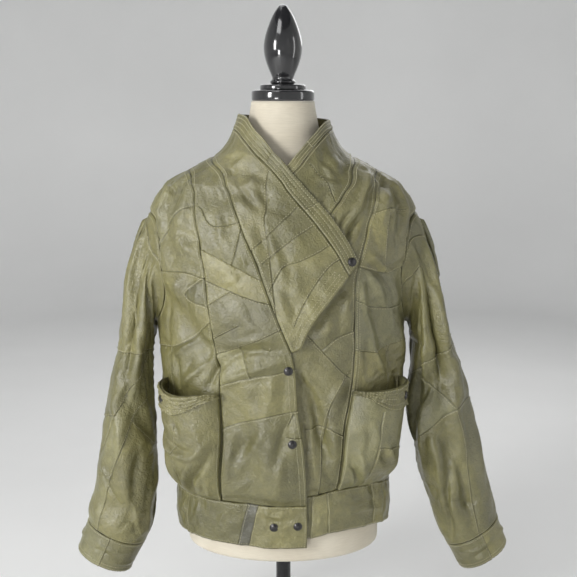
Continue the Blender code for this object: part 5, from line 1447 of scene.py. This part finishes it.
def sleeve_rings(side, stations):
    """All rings of a sleeve from the armhole to the cuff seam, and each one's row in the solid."""
    first, inward = armhole_loop(side)
    first = first + inward * SEAM_GAP / 2
    count = len(first)
    target, down = station_ring(side, stations[0], count)
    outward = unit(np.array((side, 0, SLEEVE_FALL), float))
    handle = np.linalg.norm(target - first, axis=1)[:, None] * SLEEVE_TENSION
    leave = unit(outward * SLEEVE_OUT + inward * SLEEVE_IN_HOLE) * handle
    rings, rows = [], []
    for step in range(HEAD_RINGS * FINE_HEAD):
        part = step / (HEAD_RINGS * FINE_HEAD)
        square, cube = part ** 2, part ** 3
        rings.append(first * (2 * cube - 3 * square + 1) + leave * (cube - 2 * square + part)
                     + target * (3 * square - 2 * cube) + down * handle * (cube - square))
        rows.append(step / FINE_HEAD)
    steps = [math.hypot(two.x - one.x, two.height - one.height) for one, two in zip(stations, stations[1:])]
    distances = np.concatenate(([0.0], np.cumsum(steps)))
    read_station = curve([(distance, *station) for distance, station in zip(distances, stations)])
    for step in range(SLEEVE_RINGS * FINE_SLEEVE + 1):
        part = step / (SLEEVE_RINGS * FINE_SLEEVE)
        station = Station(*read_station(distances[-1] * part))
        rings.append(station_ring(side, station, count)[0])
        rows.append(HEAD_RINGS + part * SLEEVE_RINGS)
    return np.array(rings), np.array(rows)


def ring_normals(rings):
    across = np.roll(rings, -1, 1) - np.roll(rings, 1, 1)
    onward = np.empty_like(rings)
    onward[1:-1] = rings[2:] - rings[:-2]
    onward[0], onward[-1] = rings[1] - rings[0], rings[-1] - rings[-2]
    return unit(np.cross(onward, across))


def tube_shell(name, rings, rows, fold_rows, creases, side, first_fixed, lines, seed, finish, calm=0.0,
               extra=None):
    """A tube with folds and creases; flattened, x runs round it and y up it."""
    count = rings.shape[1]
    turn = 360 * np.arange(count) / count
    if side < 0:
        rings = rings[:, -np.arange(count) % count]
        turn = (360 - turn) % 360
    steps = np.linalg.norm(np.diff(rings, axis=0), axis=2)
    travelled = np.vstack((np.zeros(count), np.cumsum(steps, axis=0)))
    turns = np.broadcast_to(turn, travelled.shape)
    fade = smooth_step((rows[-1] - rows) / 2)
    if first_fixed:
        fade = fade * smooth_step(rows / 2)
    push = fold_depth(fold_rows, turns, travelled, SLEEVE_RADIUS)
    spots = flatten(np.stack((turns, travelled), -1), SLEEVE_RADIUS)
    push = push + crease_depth(creases, spots.reshape(-1, 2), 2 * math.pi * SLEEVE_RADIUS).reshape(turns.shape)
    rings = rings + ring_normals(rings) * (push * fade[:, None])[..., None]
    normals = ring_normals(rings)
    closed = np.concatenate((rings, rings[:, :1]), 1)[::-1]
    closed_normals = np.concatenate((normals, normals[:, :1]), 1)[::-1]
    around = 2 * math.pi * SLEEVE_RADIUS
    length = travelled.mean(1)
    left = np.stack((np.zeros(len(rows)), -length[::-1]), -1)
    right = np.stack((np.full(len(rows), around), -length[::-1]), -1)
    maker = flat_grid(left, right, np.linspace(0, 1, count + 1))

    def place(flat, s, t):
        return sample_grid(closed, s, t), unit(sample_grid(closed_normals, s, t))

    borders = (np.stack((left[0], right[0])), np.stack((left[-1], right[-1])))
    border_lines[name] = dict(zip(("bottom", "top"), borders))
    lines = [flatten(line, SLEEVE_RADIUS) * (1, -1) for line in lines]
    if side < 0:
        lines = [line * (-1, 1) + (around, 0) for line in lines]
    return make_shell(name, maker, place, borders, lines, seed, finish, calm, True, extra)


def make_sleeve(name, side, stations, cuff, fold_rows, creases, seed, finish):
    rings, rows = sleeve_rings(side, stations)
    tube_shell(name + "_sleeve", rings, rows, fold_rows, creases, side, True,
               SLEEVE_SEAMS[name], seed, finish)
    top = stations[-1]
    count = rings.shape[1]
    down = station_ring(side, top, 4)[1]
    end = Station(cuff.x, top.y, cuff.height, cuff.half_width, cuff.half_depth, cuff.lean)
    cuff_rings = []
    for step in range(CUFF_ROWS + 1):
        part = step / CUFF_ROWS
        between = Station(*[a + (b - a) * part for a, b in zip(top, end)])
        cuff_rings.append(station_ring(side, between, count)[0])
    cuff_rings[0] = cuff_rings[0] + down * SEAM_GAP
    tube_shell(name + "_cuff", np.array(cuff_rings), np.linspace(0, 4, CUFF_ROWS + 1), [], CUFF_CREASES, side,
               True, CUFF_SEAMS[name], seed + 1, finish, 0.3)


# ---------------------------------------------------------------- pockets
def pouch_surface(side, creases):
    """A function from shares across (from the princess seam out) and up to points of a pouch."""
    right = side == "right"
    point_at = right_plain if right else left_plain
    princess = chain((PRINCESS_RIGHT if right else PRINCESS_LEFT)[:1], ROWS[:1], (1,))
    outer = chain((SIDE_RIGHT,), ROWS[:1], (1,)) * np.array((1 if right else -1, 1))
    last = len(princess) - 2

    def point(across, up, more=0.0):
        row = np.clip(up * POCKET_ROWS, 0, last + 1)
        low = np.clip(row.astype(int), 0, last)
        part = (row - low)[:, None]
        inner_place = princess[low] * (1 - part) + princess[low + 1] * part
        outer_place = outer[low] * (1 - part) + outer[low + 1] * part
        share = (across * POCKET_HALF_COLUMNS / 2 / SIDE_COLUMNS)[:, None]
        spot = unflatten(inner_place * (1 - share) + outer_place * share)
        belly = np.sin(math.pi * np.clip(across, 0, 1)) ** POCKET_ROUNDNESS
        rise = np.sin(math.pi / 2 * np.clip(up / POCKET_FULL_FROM, 0, 1))
        out = POCKET_BULGE * belly * rise + LEATHER + SEAM_GAP + more
        spots = np.stack((across * POUCH_WIDTH, up * POUCH_HEIGHT), -1)
        out = out + crease_depth(creases, spots) * smooth_step(up / 0.15) * belly
        normal = slope_normal(point_at, spot[:, 0], spot[:, 1])
        return point_at(spot[:, 0], spot[:, 1]) + normal * out[:, None]
    return point


def pouch_place(side, point, read_up, more):
    """Places a flat piece on a pouch; its x runs with the body's angle, its y upwards."""
    step = 0.0008

    def at(x, y):
        across = x / POUCH_WIDTH if side == "left" else 1 - x / POUCH_WIDTH
        return point(across, read_up(across, y), more)

    def place(flat, s, t):
        x, y = flat.T
        sideways = at(np.clip(x + step, 0, POUCH_WIDTH), y) - at(np.clip(x - step, 0, POUCH_WIDTH), y)
        upward = at(x, y + step) - at(x, y - step)
        return at(x, y), unit(np.cross(sideways, upward))
    return place


def make_pocket(side, creases, seed, finish):
    point = pouch_surface(side, creases)
    flat_piece(side + "_pocket", POUCH_WIDTH, POUCH_HEIGHT, 0.0030,
               pouch_place(side, point, lambda across, y: y / POUCH_HEIGHT, 0.0),
               POUCH_SEAMS[side], seed, finish, 0.3, None)

    def band_up(across, y):
        swell = smooth_step(across / POCKET_BAND_FULL_FROM)
        deep = POCKET_BAND_TAPER + (1 - POCKET_BAND_TAPER) * swell
        return 1 - POCKET_BAND_ROWS / POCKET_ROWS * deep * (1 - y / POUCH_BAND_DEPTH)

    flat_piece(side + "_pocket_band", POUCH_WIDTH, POUCH_BAND_DEPTH, 0.0012,
               pouch_place(side, point, band_up, LEATHER + POCKET_BAND_CLEAR),
               [], seed + 1, finish, 0.6, channels(4, 0.0024, False))


def flat_piece(name, width, height, spacing, place, lines, seed, finish, calm, extra):
    rows = round(height / spacing)
    heights = np.linspace(0, height, rows + 1)
    left = np.stack((np.zeros(rows + 1), heights), -1)
    right = np.stack((np.full(rows + 1, width), heights), -1)
    maker = flat_grid(left, right, edge_shares(width, spacing))
    borders = (left[[0, -1]], right[[0, -1]], np.stack((left[0], right[0])), np.stack((left[-1], right[-1])))
    lines = [np.array(line) for line in lines]
    make_shell(name, maker, place, borders, lines, seed, finish, calm, extra=extra)


# ---------------------------------------------------------------- stitches
def beside(line, aside):
    """A flat line moved sideways; positive is to its right."""
    way = unit(np.gradient(line, axis=0))
    return line + np.stack((way[:, 1], -way[:, 0]), -1) * aside


def topstitch_rows(name):
    """Flat rows of stitches along the borders of a piece."""
    rows = []
    for border, inside, start, end in TOPSTITCH[name]:
        edges = border_lines[name]
        if border == "share":
            line = edges["left"] * (1 - inside) + edges["right"] * inside
        else:
            line = edges[border] if len(edges[border]) > 2 else resample(edges[border], 200)
            line = beside(line, inside if border in ("left", "top") else -inside)
        count = len(line) - 1
        line = line[round(start * count):round(end * count) + 1]
        rows.append(resample(line, 300)[2:-2])
    return rows


def stitch_rows(name, piece, rows, finish):
    """Small raised stitches along rows of flat points on a piece, joined into one mesh."""
    maker = bmesh.new()
    for row in rows:
        row = resample(row, max(2, round(lengths_along(row)[-1] / PITCH)))
        ahead = on_shell(piece, row)[0]
        points, ups = on_shell(piece, (row[:-1] + row[1:]) / 2)
        for point, up, way in zip(points, ups, ahead[1:] - ahead[:-1]):
            if not PITCH * SHORTEST_STEP < np.linalg.norm(way) < PITCH * LONGEST_STEP:
                continue
            way = unit(way - up * (way @ up))
            axes = np.stack((way, np.cross(up, way), up), 1) * STITCH
            place = np.column_stack((axes, point + up * STITCH_PROUD))
            bmesh.ops.create_icosphere(maker, subdivisions=1, radius=0.5,
                                       matrix=Matrix(place.tolist() + [(0, 0, 0, 1)]))
    return link(name, maker, finish)


# ---------------------------------------------------------------- snaps, form and stand
def link(name, maker, finish):
    """Makes a closed piece from a mesh, with its faces turned outwards."""
    bmesh.ops.recalc_face_normals(maker, faces=maker.faces)
    return add_object(name, maker, finish)


def spin_profile(maker, profile, segments):
    """Spins a profile of (radius, height) about the upright axis."""
    verts = [maker.verts.new((radius, 0, height)) for radius, height in profile]
    edges = [maker.edges.new(pair) for pair in zip(verts[:-1], verts[1:])]
    bmesh.ops.spin(maker, geom=verts + edges, cent=(0, 0, 0), axis=(0, 0, 1), dvec=(0, 0, 0),
                   angle=2 * math.pi, steps=segments, use_merge=True)
    bmesh.ops.remove_doubles(maker, verts=maker.verts, dist=0.000005)


def rounded(profile, rounds):
    """Rounds the marked corners of a profile; rounds gives a radius for each point, 0 for sharp."""
    points = [np.array(point, float) for point in profile]
    line = [points[0]]
    for before, corner, after, radius in zip(points[:-2], points[1:-1], points[2:], rounds[1:-1]):
        if not radius:
            line.append(corner)
            continue
        one, two = unit(before - corner) * radius, unit(after - corner) * radius
        for part in np.linspace(0, 1, 5):
            line.append(corner + one * (1 - part) ** 2 + two * part ** 2)
    return line + [points[-1]]


# A snap cap from its foot to the top of its dome: shares of its radius and height
SNAP_PROFILE = ((0, 0), (0.92, 0), (1, 0.22), (0.985, 0.40), (0.93, 0.50), (0.87, 0.50), (0.82, 0.46),
                (0.78, 0.56), (0.68, 0.74), (0.52, 0.88), (0.32, 0.97), (0, 1))


def make_snap(name, finish):
    """A domed snap cap with a rolled rim, set where its solid is."""
    spots = np.array([vert.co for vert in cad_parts[name].data.vertices])
    middle = spots.mean(0)
    axes = np.linalg.svd(spots - middle)[2]
    up = axes[2]
    outward = middle - np.array((0.0, 0.0, middle[2]))
    if up @ outward < 0:
        up = -up
    heights = (spots - middle) @ up
    foot = middle + up * heights.min()
    maker = bmesh.new()
    spin_profile(maker, [(SNAP_RADIUS * out, SNAP_HEIGHT * rise) for out, rise in SNAP_PROFILE], 40)
    turn = Vector(up).to_track_quat("Z", "Y")
    for vert in maker.verts:
        vert.co = turn @ vert.co + Vector(foot)
    return link(name + "_cap", maker, finish)


def make_form(finish):
    """The dress form's smooth linen torso, closed at its neck and underside."""
    full_from = FORM_BOTTOM + FORM_RIM
    rows = [(full_from - FORM_RIM * math.sin(part), FORM_RIM * (1 - math.cos(part)))
            for part in np.linspace(math.pi / 2, 0, 7)[:-1]]
    rows += [(height, 0.0) for height in np.linspace(full_from, FORM_TOP, 120)]
    maker = bmesh.new()
    bmesh.ops.create_grid(maker, x_segments=FORM_COLUMNS, y_segments=len(rows) - 1, size=1.0)
    for vert in maker.verts:
        height, shrink = rows[round((vert.co.y + 1) / 2 * (len(rows) - 1))]
        turn = math.pi * (round((vert.co.x + 1) / 2 * FORM_COLUMNS) % FORM_COLUMNS) * 2 / FORM_COLUMNS
        half_width, front, back = read_form(max(height, full_from))
        depth = front if math.cos(turn) > 0 else back
        vert.co = ((half_width - shrink) * math.sin(turn), -(depth - shrink) * math.cos(turn),
                   HEM_HEIGHT + height)
    bmesh.ops.remove_doubles(maker, verts=maker.verts, dist=0.000005)
    bmesh.ops.holes_fill(maker, edges=[edge for edge in maker.edges if edge.is_boundary], sides=0)
    return link("form_torso", maker, finish)


def make_turned(name, profile, rounds, segments, finish):
    maker = bmesh.new()
    spin_profile(maker, [(radius, HEM_HEIGHT + height) for radius, height in rounded(profile, rounds)], segments)
    return link(name, maker, finish)


# ---------------------------------------------------------------- materials
class Nodes:
    """Adds nodes to one material."""

    def __init__(self, name, colour, roughness):
        self.material = bpy.data.materials.new(name)
        self.material.use_nodes = True
        self.material.diffuse_color = (*colour, 1)
        self.tree = self.material.node_tree
        self.shader = self.tree.nodes["Principled BSDF"]
        self.shader.inputs["Base Color"].default_value = (*colour, 1)
        self.shader.inputs["Roughness"].default_value = roughness

    def add(self, kind, settings=(), **values):
        node = self.tree.nodes.new("ShaderNode" + kind)
        for key, value in dict(settings).items():
            setattr(node, key, value)
        for key, value in values.items():
            socket = node.inputs[key.replace("_", " ")]
            if isinstance(value, bpy.types.NodeSocket):
                self.tree.links.new(value, socket)
            else:
                socket.default_value = value
        return node

    def feed(self, source, target):
        self.tree.links.new(source, target)

    def maths(self, operation, first, second=0.5, third=None):
        node = self.tree.nodes.new("ShaderNodeMath")
        node.operation = operation
        for socket, value in zip(node.inputs, (first, second, third)):
            if isinstance(value, bpy.types.NodeSocket):
                self.tree.links.new(value, socket)
            elif value is not None:
                socket.default_value = value
        return node.outputs[0]

    def ramp(self, value, stops):
        node = self.tree.nodes.new("ShaderNodeValToRGB")
        self.tree.links.new(value, node.inputs[0])
        for at, (place, colour) in enumerate(stops):
            stop = node.color_ramp.elements[at] if at < 2 else node.color_ramp.elements.new(place)
            stop.position = place
            stop.color = (*colour, 1) if len(colour) == 3 else colour
        return node.outputs["Color"]

    def mix(self, share, first, second, blend="MIX"):
        node = self.tree.nodes.new("ShaderNodeMix")
        node.data_type = "RGBA"
        node.blend_type = blend
        for socket, value in zip((node.inputs[0], node.inputs[6], node.inputs[7]), (share, first, second)):
            if isinstance(value, bpy.types.NodeSocket):
                self.tree.links.new(value, socket)
            elif isinstance(value, tuple):
                socket.default_value = (*value, 1)
            else:
                socket.default_value = value
        return node.outputs[2]


def olive_leather():
    """Semi-gloss garment leather: each patch has its own tint, with grain and fine creases; painted shade
    darkens it in its seam grooves, with a faint painted highlight on their rims.
    """
    nodes = Nodes("olive_leather", (0.20, 0.20, 0.10), 0.45)
    place = nodes.add("TexCoord").outputs["Object"]
    patch = nodes.add("Attribute", {"attribute_name": "patch"})
    tint = nodes.add("SeparateColor", Color=patch.outputs["Color"])
    seam = nodes.add("Attribute", {"attribute_name": "seam"}).outputs["Fac"]
    cloud = nodes.add("TexNoise", Vector=place, Scale=14.0, Detail=5.0, Roughness=0.6).outputs["Fac"]
    mottle = nodes.add("TexNoise", Vector=place, Scale=75.0, Detail=4.0, Roughness=0.65).outputs["Fac"]
    base = nodes.ramp(tint.outputs["Red"], [(0.0, (0.156, 0.146, 0.060)), (0.45, (0.192, 0.178, 0.075)),
                                            (0.8, (0.232, 0.213, 0.094)), (1.0, (0.210, 0.202, 0.104))])
    grey = nodes.maths("MULTIPLY", tint.outputs["Green"], 0.22)
    base = nodes.mix(grey, base, (0.100, 0.098, 0.074))
    dark = nodes.ramp(cloud, [(0.30, (0.72, 0.72, 0.70)), (0.70, (1.16, 1.15, 1.10))])
    base = nodes.mix(1.0, base, dark, "MULTIPLY")
    spots = nodes.ramp(mottle, [(0.32, (0.84, 0.84, 0.82)), (0.66, (1.10, 1.10, 1.06))])
    base = nodes.mix(1.0, base, spots, "MULTIPLY")
    # Painted shade: the colour is halved along each seam and border, in the groove where shade falls, and made a
    # little lighter 1.5 mm out as a painted highlight on the groove's rim
    near = nodes.ramp(nodes.maths("MULTIPLY", seam, 400.0),
                      [(0.0, (0.50, 0.49, 0.45)), (0.20, (0.84, 0.84, 0.82)),
                       (0.6, (1.10, 1.10, 1.08)), (1.0, (1.0, 1.0, 1.0))])
    base = nodes.mix(1.0, base, near, "MULTIPLY")
    nodes.feed(base, nodes.shader.inputs["Base Color"])
    grain = nodes.add("TexVoronoi", {"feature": "DISTANCE_TO_EDGE"}, Vector=place,
                      Scale=620.0).outputs["Distance"]
    bent = nodes.add("TexNoise", {"noise_dimensions": "3D"}, Vector=place, Scale=38.0,
                     Detail=3.0).outputs["Color"]
    twisted = nodes.add("VectorMath", {"operation": "MULTIPLY_ADD"})
    nodes.feed(bent, twisted.inputs[0])
    twisted.inputs[1].default_value = (0.018, 0.018, 0.018)
    nodes.feed(place, twisted.inputs[2])
    wrinkle = nodes.add("TexVoronoi", {"feature": "DISTANCE_TO_EDGE"}, Vector=twisted.outputs[0],
                        Scale=150.0).outputs["Distance"]
    wrinkle = nodes.maths("MINIMUM", nodes.maths("MULTIPLY", wrinkle, 5.0), 1.0)
    soft = nodes.add("TexNoise", Vector=twisted.outputs[0], Scale=170.0, Detail=4.0,
                     Roughness=0.6).outputs["Fac"]
    height = nodes.maths("MULTIPLY", nodes.maths("MINIMUM", nodes.maths("MULTIPLY", grain, 5.0), 1.0), 0.00010)
    height = nodes.maths("MULTIPLY_ADD", wrinkle, 0.00040, height)
    height = nodes.maths("MULTIPLY_ADD", soft, 0.00170, height)
    height = nodes.maths("MULTIPLY_ADD", cloud, 0.0012, height)
    bump = nodes.add("Bump", Height=height, Strength=0.8, Distance=1.0)
    nodes.feed(bump.outputs[0], nodes.shader.inputs["Normal"])
    rough = nodes.maths("MULTIPLY_ADD", mottle, 0.22, 0.22)
    rough = nodes.maths("MULTIPLY_ADD", tint.outputs["Blue"], 0.07, rough)
    nodes.feed(rough, nodes.shader.inputs["Roughness"])
    nodes.shader.inputs["Specular IOR Level"].default_value = 0.7
    nodes.shader.inputs["Coat Weight"].default_value = 0.2
    nodes.shader.inputs["Coat Roughness"].default_value = 0.32
    return nodes.material


def stitch_thread():
    nodes = Nodes("olive_thread", (0.44, 0.41, 0.28), 0.6)
    place = nodes.add("TexCoord").outputs["Object"]
    ply = nodes.add("TexNoise", Vector=place, Scale=900.0, Detail=2.0).outputs["Fac"]
    nodes.feed(nodes.ramp(ply, [(0.35, (0.320, 0.300, 0.185)), (0.65, (0.560, 0.530, 0.370))]),
               nodes.shader.inputs["Base Color"])
    return nodes.material


def cream_linen():
    """Plain-woven cream linen, stretched smooth."""
    nodes = Nodes("cream_linen", (0.72, 0.67, 0.56), 0.85)
    place = nodes.add("TexCoord").outputs["Object"]
    cloud = nodes.add("TexNoise", Vector=place, Scale=9.0, Detail=4.0).outputs["Fac"]
    slub = nodes.add("TexNoise", Vector=nodes.add("Mapping", Vector=place, Scale=(60, 60, 900)).outputs[0],
                     Scale=1.0, Detail=2.0).outputs["Fac"]
    base = nodes.ramp(cloud, [(0.3, (0.60, 0.54, 0.43)), (0.7, (0.72, 0.67, 0.56))])
    uneven = nodes.ramp(slub, [(0.3, (0.86, 0.85, 0.82)), (0.7, (1.05, 1.05, 1.03))])
    base = nodes.mix(0.5, base, uneven, "MULTIPLY")
    nodes.feed(base, nodes.shader.inputs["Base Color"])
    weft, warp = (nodes.add("TexWave", {"bands_direction": way}, Vector=place, Scale=330.0,
                            Distortion=1.2).outputs["Fac"] for way in ("Z", "X"))
    height = nodes.maths("MULTIPLY", nodes.maths("ADD", weft, warp), 0.00010)
    height = nodes.maths("MULTIPLY_ADD", slub, 0.00015, height)
    nodes.feed(nodes.add("Bump", Height=height, Strength=0.6, Distance=1.0).outputs[0],
               nodes.shader.inputs["Normal"])
    nodes.shader.inputs["Sheen Weight"].default_value = 0.2
    return nodes.material


def lacquer(name, colour, rough_low, rough_high, scale, coat, metal=0.0):
    """A smooth hard finish with faint handling marks in its gloss."""
    nodes = Nodes(name, colour, rough_low)
    place = nodes.add("TexCoord").outputs["Object"]
    marks = nodes.add("TexNoise", Vector=place, Scale=scale, Detail=6.0, Roughness=0.7).outputs["Fac"]
    rough = nodes.maths("MULTIPLY_ADD", marks, rough_high - rough_low, rough_low)
    nodes.feed(rough, nodes.shader.inputs["Roughness"])
    bright = tuple(min(1.0, value * 1.7 + 0.004) for value in colour)
    nodes.feed(nodes.ramp(marks, [(0.35, colour), (0.75, bright)]), nodes.shader.inputs["Base Color"])
    nodes.feed(nodes.add("Bump", Height=nodes.maths("MULTIPLY", marks, 0.0001), Strength=0.3,
                         Distance=1.0).outputs[0], nodes.shader.inputs["Normal"])
    nodes.shader.inputs["Metallic"].default_value = metal
    nodes.shader.inputs["Coat Weight"].default_value = coat
    nodes.shader.inputs["Coat Roughness"].default_value = 0.08
    return nodes.material


# ---------------------------------------------------------------- everything in its place
leather = olive_leather()
thread = stitch_thread()
linen = cream_linen()
black_gloss = lacquer("black_gloss_lacquer", (0.010, 0.010, 0.011), 0.08, 0.22, 30.0, 1.0)
black_satin = lacquer("black_satin_metal", (0.012, 0.012, 0.013), 0.25, 0.42, 60.0, 0.4, 0.6)
bronze = lacquer("dark_bronze", (0.052, 0.050, 0.050), 0.22, 0.42, 300.0, 0.3, 1.0)

make_fronts(leather)
make_lapels(leather)
make_back(leather)
make_back_collar(leather)
make_waistband(leather)
make_sleeve("right", -1, RIGHT_STATIONS, RIGHT_CUFF, RIGHT_SLEEVE_FOLDS, RIGHT_SLEEVE_CREASES, 31, leather)
make_sleeve("left", 1, LEFT_STATIONS, LEFT_CUFF, LEFT_SLEEVE_FOLDS, LEFT_SLEEVE_CREASES, 33, leather)
make_pocket("right", RIGHT_POUCH_CREASES, 35, leather)
make_pocket("left", LEFT_POUCH_CREASES, 37, leather)

for name, shell in shells.items():
    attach(shell.item, "root")
    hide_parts(name)
    shell.item.name = name + "_leather"

for name in shells:
    rows = topstitch_rows(name) + [beside(line, 0.0022) for line in seam_lines[name]]
    if rows:
        item = stitch_rows(name + "_stitches", name, rows, thread)
        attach(item, "root")

for name in [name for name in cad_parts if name.startswith("snap_")]:
    cap = make_snap(name, bronze)
    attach(cap, "root")
    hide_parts(name)

form = make_form(linen)
lower, upper = CAP_LOWER, CAP_UPPER
caps = [
    (make_turned("cap_lower", [(0, lower[1]), (lower[0], lower[1]), (lower[0], lower[2]), (0, lower[2])],
                 (0, 0.0035, 0.0055, 0), 96, black_gloss), "neck_cap_lower", "black_gloss"),
    (make_turned("cap_upper", [(0, upper[1]), (upper[0], upper[1]), (upper[0], upper[2]), (0, upper[2])],
                 (0, 0.0020, 0.0035, 0), 96, black_gloss), "neck_cap_upper", "black_gloss"),
    (make_turned("finial_turning", [(0, FINIAL[0].height)] + [(r, h) for r, h in catmull(FINIAL, 5)]
                 + [(0, FINIAL_TOP)], [0] * 60, 96, black_gloss), "finial", "black_gloss"),
    (form, "dress_form_torso", "linen"),
]
for item, node, finish in caps:
    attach(item, "root")
    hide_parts(node)
for node in ("pole", "base"):
    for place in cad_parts[node].material_slots:
        place.material = black_satin

# ---------------------------------------------------------------- floor, light and camera
Softbox = namedtuple("Softbox", "name place aim size power")
SOFTBOXES = [Softbox(*row) for row in (
    ("key", (-2.0, -1.8, 1.45), (0, 0, 0.65), (0.55, 1.1), 44),
    ("upper", (-0.9, -1.5, 2.7), (0, 0, 0.8), (1.0, 0.7), 10),
    ("low", (-1.2, -2.8, 0.45), (0, 0, 0.55), (0.6, 0.6), 20),
    ("edge", (2.3, -0.7, 1.1), (0.1, 0, 0.6), (0.35, 2.0), 7),
    ("top", (-0.3, 0.5, 2.9), (0, 0, 0.7), (1.4, 1.4), 12),
    ("back", (0.5, 2.0, 1.9), (0, 0.4, 0.8), (2.0, 1.4), 13),
)]
FLOOR_RADIUS = 3.4          # the floor is flat this far out, then curves up into the wall
FLOOR_CURVE = 0.8
WALL_TOP = 4.6
PHOTO_WIDTH = 577           # the photo's width, its focal length and its tilt, in pixels
FOCAL_LENGTH = 1012
LOOKS_DOWN = 185.5
CAMERA_PLACE = (0.0095, -1.75, 1.0395)
SENSOR_WIDTH = 36


def make_softbox(box):
    data = bpy.data.lights.new(box.name, "AREA")
    data.shape = "RECTANGLE"
    data.size, data.size_y = box.size
    data.energy = box.power
    item = bpy.data.objects.new(box.name, data)
    item.location = box.place
    item.rotation_euler = (Vector(box.aim) - Vector(box.place)).to_track_quat("-Z", "Y").to_euler()
    bpy.context.scene.collection.objects.link(item)


def make_backdrop():
    """A pale floor that curves up into a wall all round, far enough out for a view from any side."""
    maker = bmesh.new()
    profile = [(0.0, 0.0), (1.2, 0.0), (FLOOR_RADIUS, 0.0)]
    profile += [(FLOOR_RADIUS + FLOOR_CURVE * math.sin(part), FLOOR_CURVE * (1 - math.cos(part)))
                for part in np.linspace(0, math.pi / 2, 17)[1:]]
    profile += [(FLOOR_RADIUS + FLOOR_CURVE, WALL_TOP)]
    spin_profile(maker, profile, 96)
    nodes = Nodes("pale_backdrop", (0.80, 0.80, 0.79), 0.9)
    place = nodes.add("TexCoord").outputs["Object"]
    cloud = nodes.add("TexNoise", Vector=place, Scale=1.5, Detail=3.0).outputs["Fac"]
    nodes.feed(nodes.ramp(cloud, [(0.3, (0.82, 0.82, 0.81)), (0.7, (0.86, 0.86, 0.85))]),
               nodes.shader.inputs["Base Color"])
    nodes.shader.inputs["Emission Color"].default_value = (0.95, 0.97, 1.0, 1)
    nodes.shader.inputs["Emission Strength"].default_value = 0.06
    backdrop = link("backdrop", maker, nodes.material)
    backdrop.data.flip_normals()


make_backdrop()
for box in SOFTBOXES:
    make_softbox(box)
world = bpy.data.worlds.new("studio")
world.use_nodes = True
world.node_tree.nodes["Background"].inputs[0].default_value = (0.93, 0.95, 1.0, 1)
world.node_tree.nodes["Background"].inputs[1].default_value = 0.08
bpy.context.scene.world = world
bpy.context.scene.view_settings.view_transform = "Standard"

lens = bpy.data.cameras.new("camera")
lens.sensor_width = SENSOR_WIDTH
lens.lens = FOCAL_LENGTH / PHOTO_WIDTH * SENSOR_WIDTH
camera = bpy.data.objects.new("camera", lens)
camera.location = CAMERA_PLACE
camera.rotation_euler = (math.pi / 2 - math.atan(LOOKS_DOWN / FOCAL_LENGTH), 0, 0)
bpy.context.scene.collection.objects.link(camera)
bpy.context.scene.camera = camera
